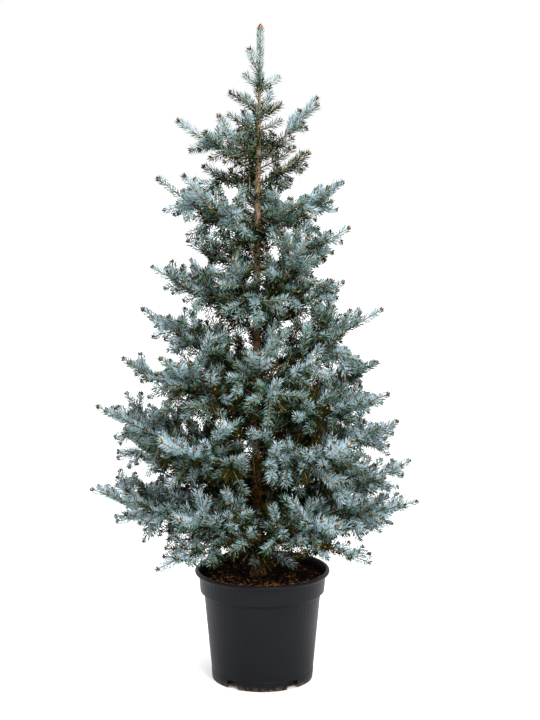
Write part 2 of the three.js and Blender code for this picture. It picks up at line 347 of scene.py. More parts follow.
SKY = np.array([  # across, up and radius of the gaps in the crown, as seen from the front
    (0.025, 1.412, 0.024), (-0.066, 1.381, 0.021), (0.086, 1.372, 0.032), (0.126, 1.370, 0.022),
    (-0.043, 1.366, 0.013), (0.052, 1.350, 0.023), (0.025, 1.339, 0.016), (-0.088, 1.335, 0.018),
    (0.086, 1.333, 0.014), (-0.140, 1.324, 0.032), (-0.183, 1.324, 0.024), (0.065, 1.324, 0.017),
    (-0.068, 1.322, 0.013), (-0.113, 1.296, 0.020), (0.038, 1.285, 0.021), (-0.138, 1.285, 0.016),
    (-0.186, 1.260, 0.013), (0.111, 1.247, 0.016), (0.090, 1.245, 0.013), (-0.202, 1.194, 0.032),
    (-0.159, 1.194, 0.018), (0.145, 1.180, 0.032), (-0.140, 1.176, 0.013), (0.093, 1.147, 0.021),
    (0.056, 1.120, 0.013), (-0.215, 1.113, 0.018), (0.192, 1.078, 0.021), (0.167, 1.069, 0.014),
    (0.147, 1.062, 0.016), (-0.197, 1.048, 0.020), (0.197, 1.026, 0.013), (-0.188, 1.001, 0.027),
    (-0.229, 0.997, 0.026), (-0.156, 0.990, 0.018), (-0.138, 0.974, 0.013), (0.169, 0.960, 0.026),
    (0.136, 0.949, 0.013), (-0.240, 0.935, 0.014), (0.201, 0.904, 0.023), (-0.251, 0.897, 0.028),
    (0.242, 0.897, 0.027), (0.276, 0.888, 0.014), (-0.222, 0.878, 0.023), (0.185, 0.876, 0.013),
    (-0.195, 0.867, 0.014), (0.271, 0.835, 0.016), (0.233, 0.805, 0.022), (0.203, 0.803, 0.013),
    (-0.274, 0.789, 0.021), (-0.312, 0.780, 0.023), (0.240, 0.773, 0.026), (-0.247, 0.771, 0.023),
    (-0.238, 0.743, 0.019), (0.258, 0.700, 0.026), (-0.308, 0.700, 0.018), (-0.337, 0.679, 0.022),
    (-0.367, 0.672, 0.023), (0.294, 0.630, 0.021), (-0.349, 0.593, 0.017), (0.323, 0.543, 0.028),
    (-0.369, 0.487, 0.025), (0.344, 0.449, 0.023), (-0.380, 0.421, 0.021), (-0.346, 0.402, 0.018),
    (0.326, 0.374, 0.016), (-0.308, 0.338, 0.028), (0.296, 0.328, 0.020), (0.262, 0.309, 0.016),
    (-0.258, 0.300, 0.025), (0.172, 0.300, 0.020),
])
SKY_MARGIN = 0.008
WINDOWS = [  # lowest and highest point, and half the width, beside the middle of the trunk
    (0.392, 0.560, 0.022), (0.755, 0.815, 0.014), (0.95, 0.99, 0.012), (1.045, 1.135, 0.014),
]
BEFORE_TRUNK = -0.012


def from_front(points):
    """Where points are seen from the front: across and up on an upright plane through the trunk."""
    share = EYE.y / (EYE.y - points[:, 1])
    return share * points[:, 0], EYE.z + share * (points[:, 2] - EYE.z)


def open_part(path):
    """A path up to where it would close a gap in the crown, or None if too little is left."""
    along = lengths_along(path)
    fine = part_of(path, along, 0.0, along[-1], 24)
    x, z = from_front(fine)
    off_centre = np.hypot(x[:, None] - SKY[:, 0], z[:, None] - SKY[:, 1])
    shut = (off_centre < SKY[:, 2] + SKY_MARGIN).any(1)
    beside = np.abs(x - np.interp(z, trunk_rings[:, 0], trunk_rings[:, 1]))
    for low, high, half in WINDOWS:
        shut |= (fine[:, 1] < BEFORE_TRUNK) & (z > low) & (z < high) & (beside < half)
    if not shut.any():
        return path
    left = lengths_along(fine)[max(shut.argmax() - 1, 0)]
    return part_of(path, along, 0.0, left, len(path)) if left > SHORTEST else None


print(len(SKY), "gaps of sky and", len(WINDOWS), "views of the trunk stay open")

# %% [markdown]
# A spruce grows one length of shoot a year, and at the end of it a ring of
# side shoots starts. The same rule then runs on each side shoot, so a bough is
# a flat fan: longest at the trunk and one bare shoot at the tip. The rule here
# walks from the tip inwards. Each ring's side branches are as long as a set
# share of the way to the tip, and turn a little outwards and up to the light.
# A few weaker ones stand up, hang down, or start between two rings.

# %% The growth rule
YEAR_LENGTH = [0.064, 0.060, 0.050, 0.040]  # a year's shoot, for each order of branch
TOP_YEAR = 1.45  # how much longer a bough's year is at the top of the tree
SIDE_SHARE = [0.64, 0.52, 0.45]  # a side branch over the way left to the tip
TOP_SIDE = 0.68  # how much of that share is left at the top of the tree
NEAR_TIP, TIP_FADE = 0.35, 0.1  # how much more it is close to the tip, and how soon that fades
OVERGROWN = 0.03  # how far a branch may pass its solid's skin
TOP_OVERGROWN = 0.4  # how much of that is left at the top
OUTWARD, UPWARD = 0.22, 0.16  # how much side branches turn to the light
OPEN_ANGLE = (40, 56)  # degrees between a branch and its side branches
FLAT, UPRIGHT, HANGING = (-0.1, 0.5), (0.9, 2.2), (0.4, 1.2)  # rolls round the branch
UPRIGHT_SHARE, HANGING_SHARE, BETWEEN_SHARE = 0.65, 0.45, 0.45
BETWEEN_ODDS = (0.5, 0.15)  # of a shoot between two rings, for each order
LAST_ORDER = 3
shoots = []  # one year's growth each
branches = []  # whole tubes of wood


def side_branch(path, along, at, way_left, roll, share, order, solid, info):
    """One side branch that leaves path at a distance, turned round it by roll."""
    here = part_of(path, along, at - 0.004, at + 0.004, 2)
    ahead = unit(here[1] - here[0])
    across = unit(np.cross(UP, ahead))
    over = np.cross(ahead, across)
    open_angle = math.radians(spread(*OPEN_ANGLE))
    out = across * math.cos(roll) + over * math.sin(roll)
    heading = unit(ahead * math.cos(open_angle) + out * math.sin(open_angle))
    length = share * way_left * spread(0.8, 1.12)
    start = here.mean(0)
    outward = unit((start - stem(start[2])) * (1, 1, 0))
    heading = unit(heading + OUTWARD * outward + UPWARD * UP)
    space = room(solid, start, heading)
    if space is not None:
        length = min(length, space + OVERGROWN * at_top(start[2], TOP_OVERGROWN))
    if length < SHORTEST:
        return
    side = open_part(turned_path(start, heading, length, spread(0.0, 0.3), 9))
    if side is not None:
        grow(side, order + 1, solid, info)


def grow(path, order, solid, info):
    """Splits a branch into its years, notes each, and starts its side branches."""
    along = lengths_along(path)
    total = along[-1]
    year_length = YEAR_LENGTH[min(order, LAST_ORDER)]
    if order == 0:
        year_length *= at_top(path[0][2], TOP_YEAR)
    marks = [0.0, year_length * spread(0.85, 1.2)]
    while total - marks[-1] > 0.5 * year_length:
        marks.append(marks[-1] + year_length * spread(0.72, 0.95))
    marks = [m for m in marks if total - m > 0.3 * year_length] + [total]
    branches.append(dict(path=path, order=order, years=len(marks) - 1, **info))
    for year, (near, far) in enumerate(zip(marks, marks[1:])):
        line = part_of(path, along, total - far, total - near)
        shoots.append(dict(line=line, year=year, order=order, **info))
    if order >= LAST_ORDER:
        return
    for way_left in marks[1:-1]:
        near_tip = 1 + NEAR_TIP * math.exp(-way_left / TIP_FADE)
        share = SIDE_SHARE[order] * at_top(path[0][2], TOP_SIDE) * near_tip
        ring = [(spread(*FLAT), 1.0), (math.pi - spread(*FLAT), 1.0)]
        if order == 0 or rng.random() < 0.2:
            ring.append((spread(*UPRIGHT), UPRIGHT_SHARE))
        if order == 0 and rng.random() < 0.25:
            ring.append((-spread(*HANGING), HANGING_SHARE))
        for roll, weight in ring:
            side_branch(path, along, total - way_left, way_left, roll, share * weight, order, solid, info)
    if order >= len(BETWEEN_ODDS):
        return
    for near, far in zip(marks[1:], marks[2:]):
        if rng.random() < BETWEEN_ODDS[order]:
            way_left = spread(near + 0.2 * (far - near), near + 0.9 * (far - near))
            roll = math.pi / 2 + spread(-1.7, 1.7)
            weight = share * BETWEEN_SHARE
            side_branch(path, along, total - way_left, way_left, roll, weight, order, solid, info)


# %% [markdown]
# A spruce also wakes buds wherever light reaches bare wood, so no hollow stays
# empty for long. The rule copies that. It scatters points through a plume's
# solid, takes the point that lies furthest from any shoot, and sends a new
# shoot there from the nearest wood that points the right way.

# %% Grow the boughs and fill their hollows
BUD_ROOM = 0.006  # the bud stands over the end of its shoot
PROBE_STEP = 0.014
HOLLOW = 0.030  # a point further than this from any shoot is in a hollow
REACH_FOR_HOLLOW = 0.085
LEAST_LEAD, MOST_LEAD = 0.35, 0.93  # how nearly a new shoot follows the wood that it starts on
BARE_ORDER = 9  # marks wood on which no shoot starts


def inside(solid, point):
    """A ray from a point inside a closed solid leaves it one time more than it enters."""
    crossings, place, way = 0, Vector(point), Vector((0.31, 0.17, 0.94)).normalized()
    while True:
        hit, _, _, _ = solid.ray_cast(place, way)
        if hit is None:
            return crossings % 2 == 1
        crossings += 1
        place = hit + way * SKIN_STEP


def probes(name, solid):
    low, high = (np.array(corner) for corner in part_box(name))
    axes = [np.arange(low[k] + PROBE_STEP / 2, high[k], PROBE_STEP) for k in range(3)]
    grid = np.stack(np.meshgrid(*axes, indexing="ij"), -1).reshape(-1, 3)
    grid += rng.uniform(-0.4, 0.4, grid.shape) * PROBE_STEP
    return grid[[inside(solid, p) for p in grid]]


def wood_samples(first):
    """Points every few millimetres along the branches from number first on, the way each runs,
    and the order of branch. The last year's growth is left out, since no shoot starts on it."""
    points, ways, orders = [], [], []
    for branch in branches[first:]:
        path = branch["path"]
        total = lengths_along(path)[-1]
        count = max(3, int(total / 0.006))
        line = part_of(path, lengths_along(path), 0.0, total, count)
        green = np.linspace(total, 0, count) < 0.8 * YEAR_LENGTH[min(branch["order"], LAST_ORDER)]
        points.append(line)
        ways.append(np.gradient(line, axis=0))
        orders.append(np.where(green, BARE_ORDER, branch["order"]))
    return np.vstack(points), unit(np.vstack(ways)), np.concatenate(orders)


def fill_hollows(points, first, hollow, longest, solid, info):
    """Sends shoots to the points that lie in hollows, from the branches numbered first and on."""
    wood, ways, orders = wood_samples(first)
    gap = np.array([np.linalg.norm(wood - p, axis=1).min() for p in points])
    added = 0
    while gap.max() > hollow:
        worst = int(gap.argmax())
        target = points[worst]
        reach = target - wood
        far = np.linalg.norm(reach, axis=1)
        lead = np.einsum("ij,ij->i", reach, ways) / np.maximum(far, 1e-9)
        fits = (far < longest) & (lead > LEAST_LEAD) & (lead < MOST_LEAD) & (orders < LAST_ORDER)
        if not fits.any():
            gap[worst] = 0
            continue
        chosen = np.flatnonzero(fits)[far[fits].argmin()]
        start, order = wood[chosen], int(orders[chosen]) + 1
        heading = unit(0.8 * reach[chosen] / far[chosen] + 0.2 * ways[chosen])
        length = far[chosen] + spread(0.0, 0.012)
        path = open_part(turned_path(start, heading, length, spread(0.1, 0.4), 7))
        if path is None:
            gap[worst] = 0
            continue
        mark = len(branches)
        grow(path, min(order, LAST_ORDER), solid, info)
        new_wood, new_ways, new_orders = wood_samples(mark)
        wood, ways = np.vstack([wood, new_wood]), np.vstack([ways, new_ways])
        orders = np.concatenate([orders, new_orders])
        near = np.linalg.norm(points[:, None] - new_wood[None], axis=2).min(1)
        gap = np.minimum(gap, near)
        gap[worst] = 0
        added += 1
    return added


bough_paths = {}
filled = 0
for whorl in WHORLS:
    height = root_height(whorl)
    for name in plume_names(whorl):
        path = bough_path(name, height)
        path = part_of(path, lengths_along(path), 0.0, lengths_along(path)[-1] - BUD_ROOM, 25)
        bough_paths[name] = path
        solid, first, info = envelope(name), len(branches), dict(group=f"whorl_{whorl}")
        grow(path, 0, solid, info)
        filled += fill_hollows(probes(name, solid), first, HOLLOW, REACH_FOR_HOLLOW, solid, info)
print(len(bough_paths), "boughs,", filled, "shoots in hollows,", len(branches), "branches")

# %% [markdown]
# The top is young, so every shoot there is a single one. They are few and each
# of them shows, so a table lists them: the height where the shoot leaves the
# trunk, its direction, how far it reaches, and the height of its tip. Below,
# weak shoots start all the way down the trunk, each turned from the last by the
# golden angle, and a second table has the short ones round its foot.

# %% Grow the top and the trunk's own shoots
TOP_SHOOTS = [
    (1.384, 186, 0.024, 1.446), (1.364, 183, 0.034, 1.390), (1.362, 10, 0.045, 1.383),
    (1.360, -48, 0.034, 1.362), (1.366, 88, 0.040, 1.392), (1.366, -80, 0.024, 1.380),
    (1.340, 100, 0.030, 1.372), (1.312, 176, 0.065, 1.350), (1.308, 206, 0.050, 1.346),
    (1.306, -6, 0.050, 1.325), (1.310, 62, 0.060, 1.346), (1.304, 118, 0.062, 1.340),
    (1.300, -64, 0.052, 1.318), (1.286, 262, 0.040, 1.316), (1.268, 188, 0.068, 1.302),
    (1.290, 20, 0.046, 1.318), (1.266, -38, 0.062, 1.290), (1.262, 96, 0.070, 1.300),
    (1.262, 146, 0.060, 1.290), (1.258, 238, 0.056, 1.276), (1.236, -80, 0.050, 1.262),
    (1.232, 60, 0.060, 1.258), (1.228, 170, 0.058, 1.250), (1.224, 4, 0.056, 1.246),
]
LEADER_FOOT = 1.366
CROWN_TOP = 1.22  # the whorls end here and the young top starts
STEM_PIECE = 0.0365
TRUNK_SHOOTS_FROM, TRUNK_SHOOT_STEP = 0.3, 0.011
INNER_SPLIT = 0.75  # the inner shoots are in a low piece and a high one
GOLDEN_TURN = math.radians(137.5)


def beside_stem(z, azimuth, reach, tip_z):
    middle = stem(z)
    return np.array([middle[0] + reach * math.cos(azimuth), middle[1] + reach * math.sin(azimuth), tip_z])


def from_stem(foot_z, tip, order, info):
    start = stem(foot_z)
    t = np.linspace(0, 1, 9)[:, None]
    bend = (start + tip) / 2 - 0.1 * np.linalg.norm(tip - start) * UP
    path = (1 - t) ** 2 * start + 2 * t * (1 - t) * bend + t**2 * tip
    grow(path, order, None, info)


for foot, degrees, reach, tip_z in TOP_SHOOTS:
    from_stem(foot, beside_stem(foot, math.radians(degrees), reach, tip_z), 3, dict(group="leader"))

leader_line = np.array([stem(z) for z in np.linspace(LEADER_FOOT, STEM_TOP, 9)])
shoots.append(dict(line=leader_line, year=0, order=0, group="leader", pressed=True, thin=0.95, tone=1))
for low in np.arange(CROWN_TOP, LEADER_FOOT - 0.02, STEM_PIECE):
    line = np.array([stem(z) for z in np.linspace(low, low + STEM_PIECE, 5)])
    shoots.append(dict(line=line, year=1, order=0, group="leader", thin=0.7, on_stem=True))


def trunk_shoots():
    height, azimuth = TRUNK_SHOOTS_FROM, 0.7
    while height < CROWN_TOP:
        azimuth += GOLDEN_TURN
        length = spread(0.07, 0.18) * (1.3 - 0.6 * height)
        tip = beside_stem(height, azimuth, length, height + length * spread(0.2, 0.7))
        if open_part(np.linspace(stem(height), tip, 5)) is None:
            tip = beside_stem(height, azimuth, 0.03, height + 0.01)
        from_stem(height, tip, 1, dict(group="inner_high" if height > INNER_SPLIT else "inner_low"))
        height += TRUNK_SHOOT_STEP


LOW_SHOOTS = [
    (0.320, -99, 0.058, 0.284, 1), (0.318, -36, 0.108, 0.284, 1), (0.322, -66, 0.076, 0.304, 4),
    (0.320, -146, 0.084, 0.300, 4), (0.325, 20, 0.090, 0.312, 4), (0.322, 70, 0.080, 0.304, 2),
    (0.324, 118, 0.090, 0.308, 4), (0.322, 165, 0.080, 0.310, 3),
    (0.330, -72, 0.052, 0.288, 7), (0.330, -125, 0.056, 0.292, 7), (0.335, -88, 0.044, 0.297, 7),
    (0.328, -20, 0.078, 0.292, 7), (0.328, -160, 0.074, 0.298, 7), (0.316, -50, 0.060, 0.280, 7),
    (0.302, -78, 0.040, 0.262, 7), (0.300, -112, 0.042, 0.260, 6), (0.304, -52, 0.046, 0.266, 6),
]  # foot, direction, reach, tip and tone of the needles

trunk_shoots()
for foot, degrees, reach, tip_z, tone in LOW_SHOOTS:
    tip = beside_stem(foot, math.radians(degrees), reach, tip_z)
    from_stem(foot, tip, 1, dict(group="inner_low", tone=tone))
print(len(TOP_SHOOTS), "shoots in the top,", len(LOW_SHOOTS), "at the trunk's foot;", len(branches), "branches")

# %% [markdown]
# What is left are the hollows between one whorl and the next, close to the
# trunk. The same rule fills them, with points scattered through the core of the
# crown instead of through one plume. The core is part of the way out to the
# longest tips at each height.

# %% Fill the core of the crown
CORE_SHARE = 0.66
CORE_STEP = 0.026
CORE_HOLLOW = 0.030
CORE_REACH = 0.11
CORE_HEIGHTS = [0.36, 0.75, 1.16]
LEVEL_BAND, LEAST_REACH = 0.09, 0.05
tips = np.array([path[-1] for path in bough_paths.values()])
tip_reach = np.hypot(tips[:, 0], tips[:, 1])
crown_levels = np.linspace(0.3, 1.5, 13)


def reach_near(level):
    """The longest reach of the boughs' tips close to a height."""
    return max([r for r, z in zip(tip_reach, tips[:, 2]) if abs(z - level) < LEVEL_BAND] + [LEAST_REACH])


level_reach = [reach_near(level) for level in crown_levels]


def crown_reach(z):
    """How far the crown reaches from the trunk at a height."""
    return np.interp(z, crown_levels, level_reach)


def core_probes(low, high):
    flat, upright = np.arange(-0.3, 0.3, CORE_STEP), np.arange(low, high, CORE_STEP)
    grid = np.stack(np.meshgrid(flat, flat, upright, indexing="ij"), -1).reshape(-1, 3)
    grid += rng.uniform(-0.4, 0.4, grid.shape) * CORE_STEP
    out = np.hypot(grid[:, 0], grid[:, 1])
    return grid[(out < CORE_SHARE * crown_reach(grid[:, 2])) & (out > 0.02)]


added = [fill_hollows(core_probes(low, high), 0, CORE_HOLLOW, CORE_REACH, None, dict(group=group))
         for low, high, group in zip(CORE_HEIGHTS, CORE_HEIGHTS[1:], ("inner_low", "inner_high"))]
print(added, "shoots in the core;", len(branches), "branches,", len(shoots), "shoots,",
      round(sum(lengths_along(s["line"])[-1] for s in shoots), 1), "m of shoot")

# %% [markdown]
# The crown's outline is its portrait, so the tips that make it are listed, as
# seen from the front: across, and up. A second list has places in which the
# crown should be closed. Where no shoot ends near a tip yet, or no wood passes
# such a place, the nearest wood that points the right way sends a shoot there.

# %% Reach the tips of the outline
OUTLINE_TIPS = [
    (-0.276, 0.763), (-0.341, 0.650), (-0.309, 0.672), (-0.269, 0.650), (-0.336, 0.568), (-0.331, 0.521),
    (-0.333, 0.476), (-0.274, 0.323), (-0.217, 0.292), (0.216, 0.756), (0.228, 0.690), (0.155, 0.669),
    (0.273, 0.649), (0.233, 0.614), (0.266, 0.603), (0.299, 0.576), (0.289, 0.548), (0.229, 0.581),
    (0.304, 0.517), (0.321, 0.476), (0.312, 0.452), (0.322, 0.431), (0.289, 0.428), (0.332, 0.396),
    (0.309, 0.361), (0.269, 0.339), (0.226, 0.323), (0.249, 0.292), (0.175, 0.299), (0.201, 0.286),
    (-0.203, 0.973), (-0.119, 0.973), (-0.220, 0.912), (-0.173, 0.866), (-0.194, 0.841), (-0.248, 0.801),
    (-0.147, 0.796), (-0.182, 0.750), (-0.220, 1.088), (-0.126, 0.991), (0.118, 1.134), (0.168, 1.089),
    (0.120, 1.067), (0.179, 1.016), (0.156, 1.002), (0.135, 1.043), (0.141, 0.974), (0.116, 0.942),
    (0.132, 0.925), (0.172, 0.892), (0.151, 0.866), (0.217, 0.875), (0.165, 0.857), (0.139, 0.838),
    (0.189, 0.789), (0.201, 0.775), (0.213, 0.754), (0.196, 0.697),
]
FILLED = [
    (0.083, 1.311), (-0.041, 1.309), (0.099, 1.271), (0.061, 1.227), (-0.140, 1.222), (-0.084, 1.196),
    (0.099, 1.189), (-0.048, 1.174), (-0.152, 1.158), (0.181, 1.151), (0.052, 1.145), (-0.113, 1.142),
    (-0.188, 1.082), (-0.193, 0.908), (0.201, 0.862), (0.031, 0.814), (-0.045, 0.796), (-0.220, 0.796),
    (0.179, 0.791), (0.262, 0.743), (0.156, 0.730), (-0.275, 0.700), (-0.276, 0.672), (-0.236, 0.669),
    (-0.258, 0.660), (-0.281, 0.639), (0.301, 0.593), (0.283, 0.567), (-0.326, 0.555), (0.271, 0.541),
    (-0.301, 0.527), (0.271, 0.518), (0.341, 0.511), (-0.288, 0.506), (-0.292, 0.485), (-0.315, 0.468),
    (-0.376, 0.454), (0.276, 0.447), (-0.335, 0.371), (0.303, 0.364), (-0.236, 0.338), (0.201, 0.321),
    (0.176, 0.319),
    (-0.335, 0.472), (-0.326, 0.492), (-0.330, 0.535), (-0.285, 0.532), (-0.306, 0.498), (0.262, 0.548),
    (0.288, 0.528), (0.300, 0.498), (0.322, 0.484), (0.262, 0.478), (0.300, 0.456), (0.310, 0.436),
    (-0.255, 0.337), (-0.236, 0.346), (-0.275, 0.347), (0.228, 0.338), (0.252, 0.351), (0.200, 0.336),
    (-0.202, 0.902), (-0.288, 0.716), (-0.250, 0.682), (-0.197, 1.078), (0.095, 0.844), (-0.125, 0.837),
    (0.088, 1.300), (-0.160, 1.222),
]
TIP_REACH = 0.13  # the longest shoot that is sent
TIP_NEAR, WOOD_NEAR = 0.013, 0.006  # closer than this, none is needed
OUTLINE_DEPTH = 0.13  # how far behind or before the trunk its wood may be
OUTLINE_LEAD = 0.6
TIP_SPLIT = 0.72


def send_shoots(targets, seen, near):
    """Sends a shoot from nearby wood to each target with nothing near it yet, as seen from the front."""
    wood, ways, orders = wood_samples(0)
    share = EYE.y / (EYE.y - wood[:, 1])
    added = 0
    for x, z in targets:
        if np.hypot(seen[0] - x, seen[1] - z).min() < near:
            continue
        reach = np.stack([x / share - wood[:, 0], 0 * share, EYE.z + (z - EYE.z) / share - wood[:, 2]], 1)
        far = np.linalg.norm(reach, axis=1)
        lead = np.einsum("ij,ij->i", reach, ways) / far
        fits = (far > 0.03) & (far < TIP_REACH) & (lead > OUTLINE_LEAD) & (orders < LAST_ORDER)
        fits &= np.abs(wood[:, 1]) < OUTLINE_DEPTH
        if not fits.any():
            print("no wood for the tip at", x, z)
            continue
        chosen = np.flatnonzero(fits)[(far - 0.04 * lead)[fits].argmin()]
        heading = unit(0.75 * reach[chosen] / far[chosen] + 0.25 * ways[chosen])
        path = turned_path(wood[chosen], heading, far[chosen], 0.0, 9)
        path = path + np.linspace(0, 1, 9)[:, None] * (wood[chosen] + reach[chosen] - path[-1])
        grow(path, 1, None, dict(group="inner_high" if z > TIP_SPLIT else "inner_low"))
        added += 1
    return added


tip_shoots = send_shoots(OUTLINE_TIPS, from_front(np.array([b["path"][-1] for b in branches])), TIP_NEAR)
filling = send_shoots(FILLED, from_front(wood_samples(0)[0]), WOOD_NEAR)
print(tip_shoots, "shoots for the outline,", filling, "for holes;", len(shoots), "shoots,",
      round(sum(lengths_along(s["line"])[-1] for s in shoots), 1), "m")

# %% [markdown]
# Every piece below is made from arrays of points and faces, because a loop
# over single objects would be slow for this many needles. One helper turns the
# arrays into a mesh, with a number on each face that says which material it has.

# %% Helpers for meshes made from arrays
def joined_mesh(name, points, faces, kinds, materials, smooth=False):
    mesh = bpy.data.meshes.new(name)
    sides = faces.shape[1]
    mesh.vertices.add(len(points))
    mesh.vertices.foreach_set("co", points.astype(np.float32).ravel())
    mesh.loops.add(faces.size)
    mesh.loops.foreach_set("vertex_index", faces.astype(np.int32).ravel())
    mesh.polygons.add(len(faces))
    mesh.polygons.foreach_set("loop_start", np.arange(0, faces.size, sides, dtype=np.int32))
    mesh.polygons.foreach_set("material_index", kinds.astype(np.int32))
    mesh.polygons.foreach_set("use_smooth", np.full(len(faces), smooth))
    mesh.update(calc_edges=True)
    mesh.validate()
    for material in materials:
        mesh.materials.append(material)
    return new_object(name, mesh)


def stacked(parts):
    """Joins (points, faces, kind) parts into one set of arrays."""
    points, faces, kinds, count = [], [], [], 0
    for part_points, part_faces, kind in parts:
        points.append(part_points)
        faces.append(part_faces + count)
        kinds.append(np.full(len(part_faces), kind) if np.isscalar(kind) else kind)
        count += len(part_points)
    return np.vstack(points), np.vstack(faces), np.concatenate(kinds)


def across_path(path):
    """For each point of a path: the way on, and two directions across it."""
    way = unit(np.gradient(path, axis=0))
    chord = unit(path[-1] - path[0])
    other = np.array([1.0, 0, 0]) if abs(chord[2]) > 0.9 else UP
    side = unit(np.cross(other, way))
    return way, side, np.cross(way, side)


def tube(path, radii, sides, turn=0.0):
    """A closed tube of triangles along a path."""
    way, side, over = across_path(path)
    angle = turn + np.arange(sides) * 2 * math.pi / sides
    out = side[:, None] * np.cos(angle)[None, :, None] + over[:, None] * np.sin(angle)[None, :, None]
    rings = path[:, None] + out * np.asarray(radii).reshape(len(path), -1, 1)
    points = np.vstack([rings.reshape(-1, 3), path[0], path[-1]])
    return points, tube_faces(len(path), sides)


def tube_faces(rings, sides):
    here = np.arange((rings - 1) * sides).reshape(rings - 1, sides)
    beside = np.roll(here, -1, axis=1)
    walls = np.concatenate([
        np.stack([here, beside, beside + sides], -1).reshape(-1, 3),
        np.stack([here, beside + sides, here + sides], -1).reshape(-1, 3)])
    first, last = rings * sides, rings * sides + 1
    ring = np.arange(sides)
    ahead = np.roll(ring, -1)
    foot = np.stack([np.full(sides, first), ahead, ring], -1)
    end = (rings - 1) * sides
    head = np.stack([np.full(sides, last), ring + end, ahead + end], -1)
    return np.vstack([walls, foot, head])


def finished(piece, slot, *replaced):
    """Hands a piece to the frame: its body and the solids it stands for. The slot argument is not used."""
    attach(piece, "root")
    if replaced:
        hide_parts(*replaced)
    piece.data.calc_loop_triangles()
    print(piece.name, len(piece.data.loop_triangles), "triangles")


def from_display(red, green, blue):
    """A colour as it looks on a screen, 0 to 255, turned into the linear values that shaders take."""
    shares = [value / 255 for value in (red, green, blue)]
    return tuple(s / 12.92 if s <= 0.04045 else ((s + 0.055) / 1.055) ** 2.4 for s in shares)


# %% [markdown]
# A needle of blue spruce is stiff and four-sided, about 20 mm long, and stands
# out all round its shoot like the bristles of a bottle brush. Wax makes the
# young ones pale blue, and it wears off over the years until the green shows.
# A whole spray takes its colour by the age of its shoot, and is darker the deeper in the crown it grows and when
# it grows low and close to the trunk above the pot; that darkening is painted shade. Its needles vary round
# that, and those on the upper side of a shoot are painted lighter and those under it darker, as painted light
# and shade. Plain colours on faces are enough, since at this size the needles themselves make the pattern that
# the eye sees.

# %% Needle colours
NEEDLE_COLOURS = [
    ("frost", (161, 180, 188)), ("pale_steel", (142, 163, 168)), ("steel", (117, 145, 145)),
    ("blue_grey", (83, 111, 101)), ("teal", (43, 66, 39)), ("green_teal", (17, 31, 6)),
    ("deep_green", (6, 10, 1)), ("olive", (46, 43, 2)), ("collar", (30, 25, 14)),
]
# The tones run from frost to deep green: age darkens a spray, and depth in the crown darkens it further as
# painted shade.
TONES = 7  # frost to deep green, in order of age and depth
OLIVE, COLLAR = 7, 8
OLIVE_DEPTH, OLIVE_TOP, OLIVE_ODDS = 0.42, 0.75, 0.27  # old dry sprays deep in the lower crown
needle_materials = [
    surface("needle_" + name, from_display(*colour), 0.5, 0.24 if max(colour) > 80 else 0.05)
    for name, colour in NEEDLE_COLOURS]


def depth_of(shoot):
    """0 at the crown's skin, 1 at the trunk."""
    middle = shoot["line"].mean(0)
    reach = float(crown_reach(middle[2]))
    return float(np.clip((reach - away(middle[None], middle[2])[0]) / max(reach, 0.26), 0, 1))


print(len(needle_materials), "needle colours")

# %% [markdown]
# Each needle is a closed sliver of four small triangles, folded along its
# middle so that it shows from every side. It is a little larger than life, so
# that fewer of them clothe the tree. Needles follow one another round the shoot
# by the golden angle and lean towards its tip, where a collar of short ones
# holds the bud. The number for each shoot goes by its length, and an old or
# shaded shoot has lost a part of them.

# %% Clothe the shoots in needles
NEEDLE_BUDGET = 190000
NEEDLE_LENGTH = 0.0172
NEEDLE_WIDTH = 0.0027
NEEDLE_FOLD = 0.0013  # how far the middle stands over the line from foot to tip
OLD_NEEDLE_SHARE = [1.0, 0.8, 0.5, 0.28, 0.12]  # how many are left as a shoot ages
TIP_COLLAR = 0.007
COLLAR_NEEDLES = 5
STEM_SKIN = 0.0013  # needles start this far from the middle of the shoot


def leaf_share(shoot):
    shade = np.clip((depth_of(shoot) - 0.35) / 0.3, 0, 1)
    return OLD_NEEDLE_SHARE[min(shoot["year"], 4)] * shoot.get("thin", 1.0) * (1 - 0.45 * shade)


def tone_of(shoot):
    if shoot.get("tone") == OLIVE:
        return OLIVE
    if "tone" in shoot:
        return int(np.clip(round(shoot["tone"] + rng.normal(0, 0.6)), 0, TONES - 1))
    depth, middle = depth_of(shoot), shoot["line"].mean(0)
    if depth > OLIVE_DEPTH and middle[2] < OLIVE_TOP and rng.random() < OLIVE_ODDS:
        return OLIVE
    # Older shoots are darker as their wax wears off. The darkening with depth in the crown, and for sprays low
    # and close to the trunk above the pot, is painted shade.
    tone = 0.3 + 1.1 * shoot["year"] + 7.4 * depth**1.5 + rng.normal(0, 0.8)
    low = np.interp(middle[2], [0.30, 0.38], [1, 0])
    tone += 2.6 * low * np.interp(np.hypot(*middle[:2]), [0.12, 0.24], [1, 0])
    return int(np.clip(round(tone), 0, TONES - 1))


